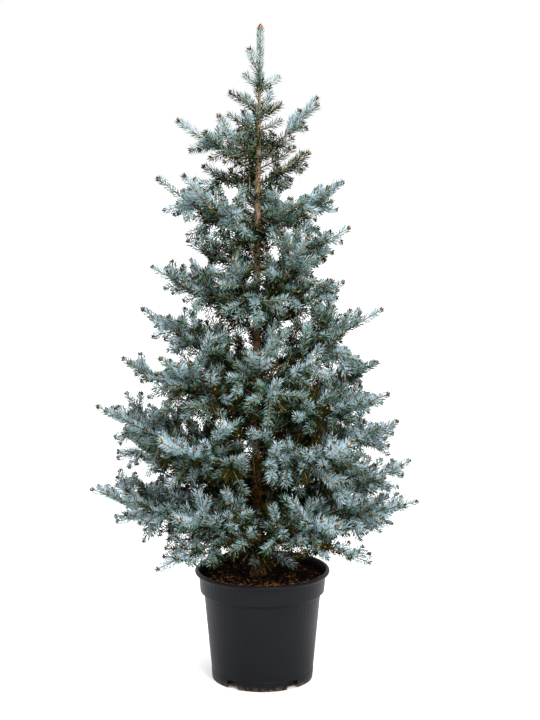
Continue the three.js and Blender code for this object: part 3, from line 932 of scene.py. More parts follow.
def clothe(shoot, per_metre):
    """The points of one shoot's needles, four to a needle, and each needle's colour."""
    line = shoot["line"]
    along = lengths_along(line)
    length = along[-1]
    count = max(8, int(per_metre * length * leaf_share(shoot)))
    mark = (np.arange(count) + rng.uniform(0.2, 0.8, count)) / count * length
    if shoot["year"] == 0 and shoot["order"] < 2:
        mark = np.append(mark, length - TIP_COLLAR * rng.uniform(0.1, 0.8, COLLAR_NEEDLES))
        count = len(mark)
    foot = np.stack([np.interp(mark, along, line[:, k]) for k in range(3)], 1)
    ways, sides, overs = across_path(line)
    way, side, over = (unit(np.stack([np.interp(mark, along, v[:, k]) for k in range(3)], 1))
                       for v in (ways, sides, overs))
    angle = GOLDEN_TURN * np.arange(count) + spread(0, 6.28) + rng.normal(0, 0.25, count)
    out = side * np.cos(angle)[:, None] + over * np.sin(angle)[:, None]
    from_end = length - mark
    lean = np.radians(61 - 13 * mark / length + 3 * min(shoot["year"], 3) + rng.normal(0, 5, count))
    size = NEEDLE_LENGTH * (0.76 + 0.24 * np.sin(np.clip(mark / 0.03, 0, 1) * math.pi / 2))
    tones = np.full(count, tone_of(shoot))
    if tones[0] < TONES:
        # Needles on the upper side of the shoot are a tone lighter and those under it a tone darker: painted
        # light and shade.
        shaded = np.where(out[:, 2] > 0.35, -1, np.where(out[:, 2] < -0.4, 1, 0))
        tones = np.clip(tones + shaded + rng.choice([-1, -1, 0, 0, 0, 1, 1, 3], count), 0, TONES - 1)
    if shoot["year"] == 0:
        collar = from_end < TIP_COLLAR
        lean = np.where(collar, np.radians(40), lean)
        size = np.where(collar, 0.55 * size, size * np.clip(0.85 + from_end / 0.06, 0, 1))
        tones = np.where(collar & (rng.random(count) < 0.65), COLLAR, tones)
    if shoot.get("pressed"):
        lean = np.where(from_end < TIP_COLLAR, np.radians(44), np.radians(42))
        size = 0.92 * size
    size = size * rng.uniform(0.85, 1.1, count)
    head = unit(way * np.cos(lean)[:, None] + out * np.sin(lean)[:, None] + 0.1 * UP)
    flat = unit(np.cross(head, out))
    back = np.cross(flat, head)
    foot = foot + out * STEM_SKIN
    middle = foot + head * (0.42 * size)[:, None] + back * NEEDLE_FOLD
    wing = flat * NEEDLE_WIDTH / 2
    points = np.stack([foot, middle + wing, middle - wing, foot + head * size[:, None]], 1)
    return points.reshape(-1, 3), tones


NEEDLE_FACES = np.array([(0, 1, 2), (3, 2, 1), (0, 3, 1), (0, 2, 3)])
weighted = sum(lengths_along(s["line"])[-1] * leaf_share(s) for s in shoots)
per_metre = NEEDLE_BUDGET / weighted
print(round(weighted, 1), "m of clothed shoot,", round(per_metre / 1000, 2), "needles to the millimetre")


def needle_piece(group, *replaced):
    clothed = [clothe(s, per_metre) for s in shoots if s["group"] == group]
    points = np.vstack([p for p, _ in clothed])
    tones = np.concatenate([t for _, t in clothed])
    faces = (NEEDLE_FACES[None] + 4 * np.arange(len(tones))[:, None, None]).reshape(-1, 3)
    kinds = np.repeat(tones, len(NEEDLE_FACES))
    piece = joined_mesh("needles_" + group, points, faces, kinds, needle_materials)
    finished(piece, "foliage", *replaced)


for whorl in WHORLS:
    needle_piece(f"whorl_{whorl}", *plume_names(whorl))
needle_piece("leader", "foliage_leader", "foliage_upper")
needle_piece("inner_high")
needle_piece("inner_low")

# %% [markdown]
# The young wood under the needles is tan with an orange cast, and turns brown and then grey as it thickens. Each
# side branch is a thin tube that tapers to its tip. It has few sides, because needles cover most of it, and its
# colour follows its thickness: the longer the branch, the darker. The two darkest colours are near black, partly
# older wood and partly painted shade for the wood deep in the crown.

# %% Twigs
# Tan to near black: the darkest two colours are partly painted shade for the wood deep in the crown.
TWIG_COLOURS = [(128, 112, 78), (92, 78, 44), (48, 42, 20), (26, 21, 9)]
TWIG_TIP_RADIUS = 0.001
TWIG_THICKENING = 0.0085  # of radius for each metre back from the tip
LEADER_WOOD_FOOT, LEADER_RADII, LEADER_STEPS = 1.3, (0.0034, 0.0017), 12
twig_materials = [
    surface(f"twig_{k}", from_display(*colour), 0.75, 0.15) for k, colour in enumerate(TWIG_COLOURS)]


def radius_at(way_to_tip):
    return TWIG_TIP_RADIUS + TWIG_THICKENING * np.asarray(way_to_tip)


def twig(branch):
    path = branch["path"]
    total = lengths_along(path)[-1]
    steps = 4 if total < 0.06 else 6
    line = part_of(path, lengths_along(path), 0.0, total, steps)
    points, faces = tube(line, radius_at(np.linspace(total, 0, steps)), 3 if branch["order"] > 1 else 5)
    # Longer, thicker branches take darker colours: older wood, and painted shade deep in the crown.
    depth = float(np.clip(total / 0.09 + rng.normal(0, 0.4), 0, 3))
    return points, faces, int(depth)


twigs = [twig(b) for b in branches if b["order"] > 0]
leader_stem = np.array([stem(z) for z in np.linspace(LEADER_WOOD_FOOT, STEM_TOP, LEADER_STEPS)])
twigs.append((*tube(leader_stem, np.linspace(*LEADER_RADII, LEADER_STEPS), 8), 0))
finished(joined_mesh("twigs", *stacked(twigs), twig_materials, smooth=True), "bark")

# %% [markdown]
# Each shoot ends in a blunt bud of papery orange-brown scales, with two smaller ones beside it. A bud is a small
# spun shape whose faces take the scales' colours at random. One shape is made, and numpy turns and sizes a copy
# for each tip.

# %% Buds
BUD_COLOURS = [(176, 130, 80), (126, 90, 50), (66, 48, 28)]
BUD_PROFILES = [  # (along, radius), shares of its length: the full shape, and a plain one for small buds
    [(0.0, 0.30), (0.35, 0.50), (0.78, 0.3)], [(0.1, 0.42), (0.6, 0.38)]]
BUD_LENGTH = [0.0082, 0.0058, 0.0044, 0.0038]  # by order of branch
LEADER_BUD_LENGTH = 0.013
bud_materials = [
    surface(f"bud_{k}", from_display(*colour), 0.6, 0.3) for k, colour in enumerate(BUD_COLOURS)]


def bud(tip, way, length, plain):
    profile = BUD_PROFILES[int(plain)]
    line = tip + way * (np.array([a for a, _ in profile] + [1.0])[:, None] - 0.25) * length
    radii = np.array([r for _, r in profile] + [0.03]) * length * 0.9
    points, faces = tube(line, radii, 4 if plain else 5, spread(0, 1))
    kinds = rng.choice(3, len(faces), p=[0.25, 0.4, 0.35])
    return points, faces, kinds


def buds_at(tip, way, length, order):
    found = [bud(tip, way, length, order > 1)]
    if order < 1:
        side = unit(np.cross(way, unit(way + np.array([0.31, 0.53, 0.2]))))
        for turned in (side, -side):
            start = tip + turned * 0.25 * length - way * 0.2 * length
            found.append(bud(start, unit(way + 0.8 * turned), 0.55 * length, True))
    return found


buds = []
for branch in branches:
    path, order = branch["path"], branch["order"]
    buds += buds_at(path[-1], unit(path[-1] - path[-2]), BUD_LENGTH[min(order, LAST_ORDER)], order)
buds += buds_at(stem(STEM_TOP), UP, LEADER_BUD_LENGTH, 0)
finished(joined_mesh("buds", *stacked(buds), bud_materials, smooth=True), "bark")

# %% [markdown]
# Two effects come back in several finishes here: a soft mottle in two sizes,
# and fine grain. They are one shader node group with its own sockets. The
# group gives a mask for colour and a height for bump, and each material places
# it with its own scale.

# %% A shader group for mottle and grain
def make_mottle():
    group = bpy.data.node_groups.new("mottle", "ShaderNodeTree")
    face = group.interface
    face.new_socket("Vector", in_out="INPUT", socket_type="NodeSocketVector")
    face.new_socket("Scale", in_out="INPUT", socket_type="NodeSocketFloat")
    face.new_socket("Contrast", in_out="INPUT", socket_type="NodeSocketFloat")
    face.new_socket("Mask", in_out="OUTPUT", socket_type="NodeSocketFloat")
    face.new_socket("Height", in_out="OUTPUT", socket_type="NodeSocketFloat")
    come = group.nodes.new("NodeGroupInput")
    go = group.nodes.new("NodeGroupOutput")
    broad = group.nodes.new("ShaderNodeTexNoise")
    broad.inputs["Detail"].default_value = 5.0
    broad.inputs["Roughness"].default_value = 0.6
    fine_scale = group.nodes.new("ShaderNodeMath")
    fine_scale.operation = "MULTIPLY"
    fine_scale.inputs[1].default_value = 7.0
    fine = group.nodes.new("ShaderNodeTexNoise")
    fine.inputs["Detail"].default_value = 3.0
    centred = group.nodes.new("ShaderNodeMath")
    centred.operation = "SUBTRACT"
    centred.inputs[1].default_value = 0.5
    stretched = group.nodes.new("ShaderNodeMath")
    stretched.operation = "MULTIPLY_ADD"
    stretched.inputs[2].default_value = 0.5
    stretched.use_clamp = True
    for noise in (broad, fine):
        link(group, come.outputs["Vector"], noise.inputs["Vector"])
    link(group, come.outputs["Scale"], broad.inputs["Scale"])
    link(group, come.outputs["Scale"], fine_scale.inputs[0])
    link(group, fine_scale.outputs[0], fine.inputs["Scale"])
    link(group, broad.outputs["Fac"], centred.inputs[0])
    link(group, centred.outputs[0], stretched.inputs[0])
    link(group, come.outputs["Contrast"], stretched.inputs[1])
    link(group, stretched.outputs[0], go.inputs["Mask"])
    link(group, fine.outputs["Fac"], go.inputs["Height"])
    return group


mottle_group = make_mottle()


def place_mottle(tree, vector, scale, contrast):
    node = tree.nodes.new("ShaderNodeGroup")
    node.node_tree = mottle_group
    node.inputs["Scale"].default_value = scale
    node.inputs["Contrast"].default_value = contrast
    link(tree, vector, node.inputs["Vector"])
    return node


def object_place(tree):
    return tree.nodes.new("ShaderNodeTexCoord").outputs["Object"]


def blended(tree, factor, colours):
    """A colour ramp of (place, screen colour) pairs, blended by a factor."""
    ramp = tree.nodes.new("ShaderNodeValToRGB")
    marks = ramp.color_ramp.elements
    while len(marks) < len(colours):
        marks.new(0.5)
    for mark, (place, colour) in zip(marks, colours):
        mark.position = place
        mark.color = (*from_display(*colour), 1.0)
    link(tree, factor, ramp.inputs["Fac"])
    return ramp.outputs["Color"]


def mixed(tree, factor, a, b):
    node = tree.nodes.new("ShaderNodeMix")
    node.data_type = "RGBA"
    sockets = [x for x in node.inputs if x.enabled]
    link(tree, factor, sockets[0])
    link(tree, a, sockets[1])
    link(tree, b, sockets[2])
    return [x for x in node.outputs if x.enabled][0]


def bumped(tree, height, distance):
    bump = tree.nodes.new("ShaderNodeBump")
    bump.inputs["Distance"].default_value = distance
    link(tree, height, bump.inputs["Height"])
    link(tree, bump.outputs["Normal"], tree.nodes["Principled BSDF"].inputs["Normal"])


print("group", mottle_group.name, "with sockets", [item.name for item in mottle_group.interface.items_tree])

# %% [markdown]
# A young spruce has thin bark: tan and smooth near the top, and lower down
# grey-brown with small scales that lift at their edges. Old needles leave pegs
# on it. The trunk and the main boughs are one mesh. Its rings are closely
# spaced, so that scales, pegs and the swelling where a bough joins are real
# shape. A value on each point tells how young the wood is, and the finish
# blends its colours by that.

# %% Bark
TRUNK_SIDES = 40
TRUNK_RING_STEP = 0.0042
LIMB_SIDES = 9
SCALE_RELIEF = 0.0007
PEG_RELIEF = 0.0006
FLARE = 0.24  # of the radius, between and on the roots
FLARE_ROOTS = 5
FLARE_HEIGHT = 0.03
TRUNK_TOP = 1.31
YOUNG_FROM, YOUNG_TO = 0.62, 1.15
JOINT_SWELLING, JOINT_HEIGHT = 0.16, 0.012  # where a whorl leaves the trunk
OLD_BARK = [(0.15, (50, 32, 14)), (0.5, (102, 70, 36)), (0.85, (146, 104, 60))]
YOUNG_BARK = [(0.2, (112, 90, 66)), (0.55, (150, 126, 98)), (0.9, (176, 154, 126))]


def waves(a, z, seeds):
    """Smooth noise on a tube: a sum of sine waves round it and along it."""
    total = np.zeros(np.broadcast(a, z).shape)
    for k, (turns, per_metre_z, phase) in enumerate(seeds):
        total += np.sin(turns * a + per_metre_z * z + phase) / (1 + 0.35 * k)
    return total / 2.2


bark_waves = [(int(rng.integers(1, 9)), spread(90, 900), spread(0, 6.28)) for _ in range(9)]


def scales(a, z):
    """Plates of bark: raised in the middle, with a sharp drop at the edge."""
    warped = waves(a, z, bark_waves)
    return np.clip(1.6 * np.abs(warped) - 0.1, 0, 1) ** 0.6


def trunk_bark():
    rings = int((TRUNK_TOP - STEM_FOOT) / TRUNK_RING_STEP)
    z = np.linspace(STEM_FOOT - 0.004, TRUNK_TOP, rings)[:, None]
    a = (np.arange(TRUNK_SIDES) * 2 * math.pi / TRUNK_SIDES)[None]
    middle = np.array([stem(float(v)) for v in z[:, 0]])
    plain = np.array([stem_radius(float(v)) for v in z[:, 0]])[:, None]
    young = np.clip((z - YOUNG_FROM) / (YOUNG_TO - YOUNG_FROM), 0, 1)
    low = np.exp(-((z - STEM_FOOT) / FLARE_HEIGHT) ** 2)
    r = plain * (1.02 + 0.3 * young) * (1 - FLARE * low * (0.5 - 0.5 * np.cos(FLARE_ROOTS * a + 0.6)))
    for whorl in WHORLS:
        r = r * (1 + JOINT_SWELLING * np.exp(-((z - root_height(whorl)) / JOINT_HEIGHT) ** 2))
    r = r + SCALE_RELIEF * (1 - 0.6 * young) * (scales(a, z) - 0.5)
    pegs = np.sin(8 * a + 600 * z) * np.sin(5 * a - 760 * z)
    r = r + PEG_RELIEF * np.clip(pegs - 0.55, 0, 1) * 2
    rings_at = np.stack([middle[:, :1] + r * np.cos(a), middle[:, 1:2] + r * np.sin(a), z + 0 * a], -1)
    points = np.vstack([rings_at.reshape(-1, 3), middle[0], middle[-1]])
    youth = np.concatenate([(young + 0 * a).ravel(), [0, 1]])
    return points, tube_faces(rings, TRUNK_SIDES), 0, youth


def limb_bark(branch):
    path = branch["path"]
    along = lengths_along(path)
    total = along[-1]
    steps = max(12, int(total / 0.008))
    line = part_of(path, along, 0.0, total, steps)
    to_tip = np.linspace(total, 0, steps)
    collar = 1 + 0.5 * np.exp(-((total - to_tip) / 0.02) ** 2)
    radii = radius_at(to_tip) * collar
    points, faces = tube(line, radii, LIMB_SIDES)
    _, side, over = across_path(line)
    a = (np.arange(LIMB_SIDES) * 2 * math.pi / LIMB_SIDES)[None]
    relief = 0.0005 * waves(a, to_tip[:, None] * 2, bark_waves)
    out = side[:, None] * np.cos(a)[..., None] + over[:, None] * np.sin(a)[..., None]
    points[:-2] += (out * (relief * radii[:, None] / 0.004)[..., None]).reshape(-1, 3)
    youth = np.clip(1.15 - to_tip / 0.2, 0, 1) * 0.5 + 0.35 * np.clip((line[:, 2] - 0.8) / 0.4, 0, 1)
    youth = np.repeat(np.clip(youth, 0, 1), LIMB_SIDES)
    return points, faces, 0, np.concatenate([youth, [youth[0], 1]])


def bark_finish():
    material = surface("spruce_bark", (0.2, 0.13, 0.08), 0.85, 0.2)
    tree = material.node_tree
    place = object_place(tree)
    patches = place_mottle(tree, place, 60.0, 2.4)
    flakes = place_mottle(tree, place, 170.0, 3.0)
    age = tree.nodes.new("ShaderNodeAttribute")
    age.attribute_name = "youth"
    old = blended(tree, patches.outputs["Mask"], OLD_BARK)
    young = blended(tree, flakes.outputs["Mask"], YOUNG_BARK)
    shown = mixed(tree, age.outputs["Fac"], old, young)
    link(tree, shown, tree.nodes["Principled BSDF"].inputs["Base Color"])
    bumped(tree, flakes.outputs["Height"], 0.0006)
    return material


wood = [trunk_bark()] + [limb_bark(b) for b in branches if b["order"] == 0]
bark = joined_mesh("bark", *stacked([part[:3] for part in wood]), [bark_finish()], smooth=True)
youth = bark.data.attributes.new("youth", "FLOAT", "POINT")
youth.data.foreach_set("value", np.concatenate([part[3] for part in wood]).astype(np.float32))
finished(bark, "bark", "trunk", *[n for n in nodes if n.startswith("bough_")])

# %% [markdown]
# The pot is blown from black plastic: a thin shell with a rolled lip, a collar
# that steps in to the body, faint upright flutes, and a foot with notches that
# let water out. A spun profile makes all of it at once, with a low band that
# stands out round the foot and a thin skirt inside, which closes the view
# through the notches. The ribs under the floor, the drain holes and the notches
# come after, with booleans, since they aren't round.

# %% Pot
POT = dict(
    height=0.260, lip_radius=0.156, lip_roll=0.005,
    collar_radius=0.147, collar_foot=0.210, collar_step=0.007, collar_taper=0.003,
    shoulder_radius=0.135, foot_radius=0.116, wall=0.0024,
    floor=0.019, floor_thickness=0.003, hub_radius=0.024)
SKIRT_IN, SKIRT_OUT, SKIRT_FOOT = 0.0985, 0.1005, 0.002
NOTCHES, FIRST_NOTCH, NOTCH_SIZE = 5, -54, (0.024, 0.031, 0.038)
RIBS, RIB_WIDTH = 5, 0.003
DRAIN_RADIUS, DRAIN_CIRCLE = 0.009, 0.062
SPIN_STEPS = 240
FLUTES = 64
FLUTE_DEPTH = 0.0003
LEDGE_HEIGHT, LEDGE = 0.0225, 0.0007  # the band round the foot, and how far it stands out
SHARP_ANGLE = math.radians(34)


def arc(middle, radius, start, end, steps):
    turn = np.radians(np.linspace(start, end, steps))
    return [(middle[0] + radius * math.cos(t), middle[1] + radius * math.sin(t)) for t in turn]


def wall_radius(z):
    """The outer wall under the collar, a straight taper."""
    top = POT["collar_foot"] - POT["collar_step"]
    return POT["foot_radius"] + (POT["shoulder_radius"] - POT["foot_radius"]) * z / top


def pot_profile():
    """Rows of (radius, height, how strongly the flutes show there)."""
    wall, roll, hub, foot = (POT[part] for part in ("wall", "lip_roll", "hub_radius", "foot_radius"))
    step, collar, shoulder_radius = (POT[part] for part in ("collar_foot", "collar_radius", "shoulder_radius"))
    under, floor = POT["floor"], POT["floor"] + POT["floor_thickness"]
    shoulder = step - POT["collar_step"]
    collar_low = collar - POT["collar_taper"]
    lip_foot = POT["height"] - 2 * roll
    rows = [(0, 0, 0), (hub - 0.001, 0, 0), (hub, 0.001, 0), (hub, under, 0)]
    rows += [(SKIRT_IN, under, 0), (SKIRT_IN, SKIRT_FOOT, 0), (SKIRT_OUT, SKIRT_FOOT, 0), (SKIRT_OUT, under, 0)]
    rows += [(wall_radius(under) - wall, under, 0), (foot - wall, 0.0006, 0), (foot - wall + 0.0007, 0, 0)]
    rows += [(foot - 0.0009, 0, 0), (foot + LEDGE, 0.0009, 0)]
    rows += [(wall_radius(z) + LEDGE, z, 0) for z in (0.006, 0.013, LEDGE_HEIGHT - 0.0006)]
    rows += [(wall_radius(LEDGE_HEIGHT), LEDGE_HEIGHT + 0.0004, 0.2)]
    rows += [(wall_radius(z), z, 1) for z in np.linspace(0.03, shoulder - 0.006, 8)]
    rows += [(r, z, 0.6) for r, z in arc((shoulder_radius + 0.0028, shoulder - 0.001), 0.003, 180, 118, 4)]
    rows += [(collar_low - 0.0022, step - 0.0016, 0.3)]
    rows += [(r, z, 0.3) for r, z in arc((collar_low - 0.0012, step), 0.0012, -60, 20, 5)]
    rows += [(collar_low + (collar - collar_low) * t, step + (lip_foot - step) * t, 1)
             for t in np.linspace(0.06, 0.9, 5)]
    rows += [(collar + 0.0008, lip_foot + 0.0002, 0.2)]
    rows += [(r, z, 0) for r, z in arc((POT["lip_radius"] - roll, POT["height"] - roll), roll, -80, 118, 15)]
    inner = [(collar - wall, lip_foot - 0.001, 0), (collar_low - wall, step, 0),
             (shoulder_radius - wall, shoulder, 0), (wall_radius(floor) - wall - 0.001, floor + 0.002, 0),
             (wall_radius(floor) - wall - 0.003, floor, 0), (0, floor, 0)]
    return np.array(rows + inner)


def spun(name, profile, steps, flutes, depth):
    turn = np.arange(steps) * 2 * math.pi / steps
    wave = 0.5 + 0.5 * np.cos(flutes * turn)
    body = profile[1:-1]
    radius = body[:, :1] - depth * body[:, 2:3] * wave[None] ** 3
    rings = np.stack([radius * np.cos(turn), radius * np.sin(turn), body[:, 1:2] + 0 * turn], -1)
    points = np.vstack([rings.reshape(-1, 3), [0, 0, profile[0, 1]], [0, 0, profile[-1, 1]]])
    faces = tube_faces(len(body), steps)
    return joined_mesh(name, points, faces, np.zeros(len(faces)), [], smooth=True)


pot = spun("nursery_pot", pot_profile(), SPIN_STEPS, FLUTES, FLUTE_DEPTH)


def block(size, azimuth, radius, z, taper=1.0):
    """A box stood at a direction and radius, its outer end scaled by taper at the top."""
    dx, dy, dz = (v / 2 for v in size)
    corners_of = [(sx * dx, sy * dy * (taper if sz > 0 else 1.0), sz * dz)
                  for sz in (-1, 1) for sx, sy in ((-1, -1), (1, -1), (1, 1), (-1, 1))]
    faces = [(3, 2, 1, 0), (4, 5, 6, 7), (0, 1, 5, 4), (1, 2, 6, 5), (2, 3, 7, 6), (3, 0, 4, 7)]
    c, s = math.cos(azimuth), math.sin(azimuth)
    points = [((radius + x) * c - y * s, (radius + x) * s + y * c, z + h) for x, y, h in corners_of]
    return points, faces


def rod(radius, height, azimuth, circle, z, sides=24):
    c, s = circle * math.cos(azimuth), circle * math.sin(azimuth)
    turns = [2 * math.pi * k / sides for k in range(sides)]
    ring = [(c + radius * math.cos(t), s + radius * math.sin(t)) for t in turns]
    points = [(x, y, z - height / 2) for x, y in ring] + [(x, y, z + height / 2) for x, y in ring]
    faces = [tuple(reversed(range(sides))), tuple(range(sides, 2 * sides))]
    faces += [(k, (k + 1) % sides, (k + 1) % sides + sides, k + sides) for k in range(sides)]
    return points, faces


def tool_of(parts):
    mesh = bpy.data.meshes.new("tool")
    points, faces = [], []
    for part_points, part_faces in parts:
        faces += [tuple(i + len(points) for i in f) for f in part_faces]
        points += part_points
    mesh.from_pydata(points, [], faces)
    return new_object("tool", mesh)


def combine(piece, tool, operation):
    change = piece.modifiers.new(operation, "BOOLEAN")
    change.operation = operation
    change.solver = "EXACT"
    change.object = tool
    bpy.context.view_layer.update()
    made = bpy.data.meshes.new_from_object(piece.evaluated_get(bpy.context.evaluated_depsgraph_get()))
    piece.modifiers.clear()
    piece.data = made
    bpy.data.objects.remove(tool)


rib_length = wall_radius(0) - POT["wall"] - POT["hub_radius"] + 0.002
ribs = [block((rib_length, RIB_WIDTH, POT["floor"] + 0.001), 2 * math.pi * k / RIBS,
              POT["hub_radius"] - 0.001 + rib_length / 2, POT["floor"] / 2 + 0.0008) for k in range(RIBS)]
combine(pot, tool_of(ribs), "UNION")
between_ribs = [2 * math.pi * (k + 0.5) / RIBS for k in range(RIBS)]
cuts = [rod(DRAIN_RADIUS, 0.012, turn, DRAIN_CIRCLE, POT["floor"] + 0.001) for turn in between_ribs]
notch_turns = [math.radians(FIRST_NOTCH) + 2 * math.pi * k / NOTCHES for k in range(NOTCHES)]
cuts += [block(NOTCH_SIZE, turn, POT["foot_radius"], 0.0, 0.9) for turn in notch_turns]
combine(pot, tool_of(cuts), "DIFFERENCE")
pot.data.shade_smooth()
pot.data.set_sharp_from_angle(angle=SHARP_ANGLE)
print("pot shell with", RIBS, "ribs,", RIBS, "drain holes and", NOTCHES, "notches")

# %% [markdown]
# The plastic is satin black, faintly clouded and finely grained. Compost that splashes on it dries as pale dust,
# which lies thickest at the ground. Inside, over the compost, the faces of the wall have a second and much
# darker finish of the same kind, with less reflection: painted shade for the inside of the pot.

# %% Pot plastic
DUST_TOP, MOST_DUST, DUST_COLOUR = 0.012, 0.55, (128, 106, 82)
SMOOTHEST, ROUGHEST = 0.38, 0.52
# How dark the inner wall's copy of the finish is: painted shade inside the pot.
INNER_WALL_PAINTED_SHADE = 0.35


def pot_finish(name, shade):
    material = surface(name, from_display(15, 16, 19), 0.42, 0.09 * shade)
    tree = material.node_tree
    shader = tree.nodes["Principled BSDF"]
    place = object_place(tree)
    clouds = place_mottle(tree, place, 9.0, 1.6)
    grain = place_mottle(tree, place, 260.0, 1.0)
    colour = blended(tree, clouds.outputs["Mask"], [
        (0.2, (13 * shade, 14 * shade, 17 * shade)), (0.8, (17 * shade, 18 * shade, 22 * shade))])
    split = tree.nodes.new("ShaderNodeSeparateXYZ")
    link(tree, place, split.inputs["Vector"])
    near_ground = ranged(tree, split.outputs["Z"], (DUST_TOP, 0.0), (0.0, MOST_DUST))
    crumbs = place_mottle(tree, place, 110.0, 9.0)
    dust = tree.nodes.new("ShaderNodeMath")
    dust.operation = "MULTIPLY"
    link(tree, near_ground, dust.inputs[0])
    link(tree, crumbs.outputs["Mask"], dust.inputs[1])
    dust_colour = tree.nodes.new("ShaderNodeRGB")
    dust_colour.outputs[0].default_value = (*from_display(*DUST_COLOUR), 1)
    link(tree, mixed(tree, dust.outputs[0], colour, dust_colour.outputs[0]), shader.inputs["Base Color"])
    rough = ranged(tree, clouds.outputs["Mask"], goes=(SMOOTHEST, ROUGHEST))
    link(tree, rough, shader.inputs["Roughness"])
    bumped(tree, grain.outputs["Height"], 0.00012)
    return material


pot.data.materials.clear()
pot.data.materials.append(pot_finish("black_plastic", 1.0))
pot.data.materials.append(pot_finish("painted_shade_plastic", INNER_WALL_PAINTED_SHADE))
# Inner faces above the compost take the darker copy, which is painted shade.
for face in pot.data.polygons:
    inward = face.normal.x * face.center.x + face.normal.y * face.center.y < 0
    face.material_index = int(inward and POT["collar_foot"] < face.center.z < POT["height"] - 0.006)
finished(pot, "pot", "pot")

# %% [markdown]
# Nurseries top a pot with fine bark: dark crumbs, flat chips, and orange fibres that curl. A rough mound closes
# the pot, and over it lie three thousand chips and fibres, each a small mesh of its own shape and tilt. The
# colours are plain and dealt out by piece: bright ones lie towards the front, and dark ones at the back and
# round the trunk, as painted light and shade under the crown.

# %% Potting bark
COMPOST_TOP = 0.238
COMPOST_RINGS, COMPOST_SPOKES = 44, 132
CHIPS, FIBRES = 1100, 1900
CHIP_SHARES = [0.38, 0.34, 0.2, 0.06, 0.02]  # of the colours, dark to bright
FIBRE_SHARES = [0.12, 0.2, 0.26, 0.24, 0.18]
COMPOST_COLOURS = [(18, 9, 4), (34, 17, 7), (64, 34, 13), (124, 72, 30), (190, 132, 74)]
compost_materials = [
    surface(f"bark_chip_{k}", from_display(*colour), 0.9, 0.2) for k, colour in enumerate(COMPOST_COLOURS)]


def compost_finish():
    material = surface("compost", from_display(40, 24, 14), 0.95, 0.15)
    tree = material.node_tree
    crumbs = place_mottle(tree, object_place(tree), 90.0, 3.0)
    colour = blended(tree, crumbs.outputs["Mask"], [(0.2, (10, 5, 2)), (0.6, (27, 14, 6)), (0.95, (52, 28, 12))])
    link(tree, colour, tree.nodes["Principled BSDF"].inputs["Base Color"])
    bumped(tree, crumbs.outputs["Height"], 0.002)
    return material


compost_waves = [(spread(-260, 260), spread(-260, 260), spread(0, 6.28)) for _ in range(14)]


def compost_height(x, y):
    rough = sum(np.sin(fx * x + fy * y + phase) for fx, fy, phase in compost_waves)
    rough = rough / len(compost_waves) ** 0.5
    heap = 0.004 * np.exp(-(x**2 + y**2) / 0.05**2)
    return COMPOST_TOP - 0.002 + 0.0016 * rough + heap


def inner_radius(z):
    """The pot's inner wall, less a hair of air."""
    shoulder = POT["collar_foot"] - POT["collar_step"]
    rows = [(0, POT["foot_radius"]), (shoulder, POT["shoulder_radius"]),
            (POT["collar_foot"], POT["collar_radius"] - POT["collar_taper"]), (0.25, POT["collar_radius"])]
    return float(np.interp(z, [r[0] for r in rows], [r[1] for r in rows])) - POT["wall"] - 0.0003


def compost_body():
    turn = (np.arange(COMPOST_SPOKES) * 2 * math.pi / COMPOST_SPOKES)[None]
    reach = (np.linspace(0.01, 1, COMPOST_RINGS) * inner_radius(COMPOST_TOP - 0.001))[:, None]
    x, y = reach * np.cos(turn), reach * np.sin(turn)
    top = np.stack([x, y, compost_height(x, y)], -1)[::-1]
    sides = []
    floor = POT["floor"] + POT["floor_thickness"] + 0.0003
    for z in (POT["collar_foot"], POT["collar_foot"] - POT["collar_step"], floor):
        r = inner_radius(z) - (0.002 if z == floor else 0)
        sides.append(np.stack([r * np.cos(turn), r * np.sin(turn), z + 0 * turn], -1))
    rings = np.concatenate([np.concatenate(sides[::-1]), top])
    points = np.vstack([rings.reshape(-1, 3), [0, 0, floor], [0, 0, float(compost_height(0.0, 0.0))]])
    return points, tube_faces(len(rings), COMPOST_SPOKES), 0


def scatter_place():
    reach = inner_radius(COMPOST_TOP) - 0.006
    r, a = reach * math.sqrt(rng.random()), spread(0, 2 * math.pi)
    x, y = r * math.cos(a), r * math.sin(a)
    return np.array([x, y, float(compost_height(x, y))])


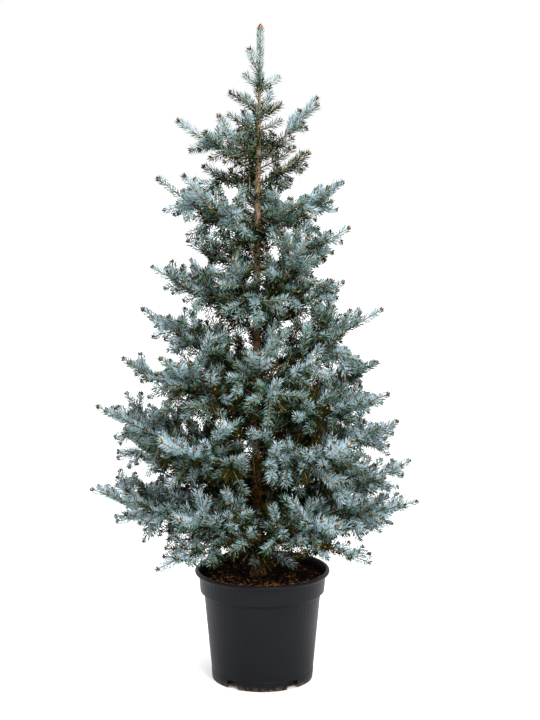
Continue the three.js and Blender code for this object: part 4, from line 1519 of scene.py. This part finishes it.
def litter_kind(place, shares):
    """A colour for a crumb. Those at the front are bright and the rest dark, as painted light and shade: the
    crown shades the middle and the back.
    """
    kind = 1 + int(rng.choice(5, p=shares))
    # Bright crumbs at the front and dark ones at the back and round the trunk: painted light and shade under the
    # crown.
    painted_light_share = np.clip((0.04 - place[1]) / 0.13, 0.25, 1) * np.clip(np.hypot(*place[:2]) / 0.09, 0.2, 1)
    return kind if rng.random() < painted_light_share else min(kind, 1 + int(rng.random() < 0.4))


def chip():
    place = scatter_place()
    length, width, thick = spread(0.003, 0.010), spread(0.002, 0.005), spread(0.0008, 0.002)
    line = np.array([[-0.5, 0, 0], [-0.1, 0, 0.05], [0.45, 0, 0]]) * length
    points, faces = tube(line, np.array([0.35, 0.5, 0.3]) * width, 5, spread(0, 1))
    points[:, 1] *= 1.0 + spread(-0.2, 0.2)
    points[:, 2] *= thick / width
    points += rng.normal(0, 0.0004, points.shape)
    points = tossed(points, 0.5) + place + [0, 0, 0.0012]
    return points, faces, litter_kind(place, CHIP_SHARES)


def fibre():
    place = scatter_place()
    length, turns = spread(0.006, 0.019), spread(0.4, 2.6)
    t = np.linspace(-0.5, 0.5, 6)
    curl, lift = 0.24 * length * np.sin(turns * 2 * t * math.pi), 0.2 * length * np.cos(turns * 3 * t)
    line = np.stack([t * length, curl, lift], 1)
    points, faces = tube(line, spread(0.0004, 0.0009) * np.array([0.5, 1, 1, 1, 0.9, 0.4]), 3)
    kind = litter_kind(place, FIBRE_SHARES)
    return tossed(points, 0.6) + place + [0, 0, 0.002 + 0.1 * length], faces, kind


def tossed(points, tilt):
    """Points turned any way round and tilted a little, as a crumb falls."""
    turn, lean = spread(0, 2 * math.pi), rng.normal(0, tilt)
    c, s = math.cos(lean), math.sin(lean)
    x, z = points[:, 0] * c - points[:, 2] * s, points[:, 0] * s + points[:, 2] * c
    c, s = math.cos(turn), math.sin(turn)
    return np.stack([x * c - points[:, 1] * s, x * s + points[:, 1] * c, z], 1)


litter = [compost_body()] + [chip() for _ in range(CHIPS)] + [fibre() for _ in range(FIBRES)]
compost = joined_mesh("potting_bark", *stacked(litter), [compost_finish()] + compost_materials)
finished(compost, "potting_bark", "soil")

# %% [markdown]
# The plant is dressed. The last cell has a helper that turns a box's corners into plain numbers.

# %% Sizes and the finish
def plain(box):
    return [[float(v) for v in corner] for corner in box]
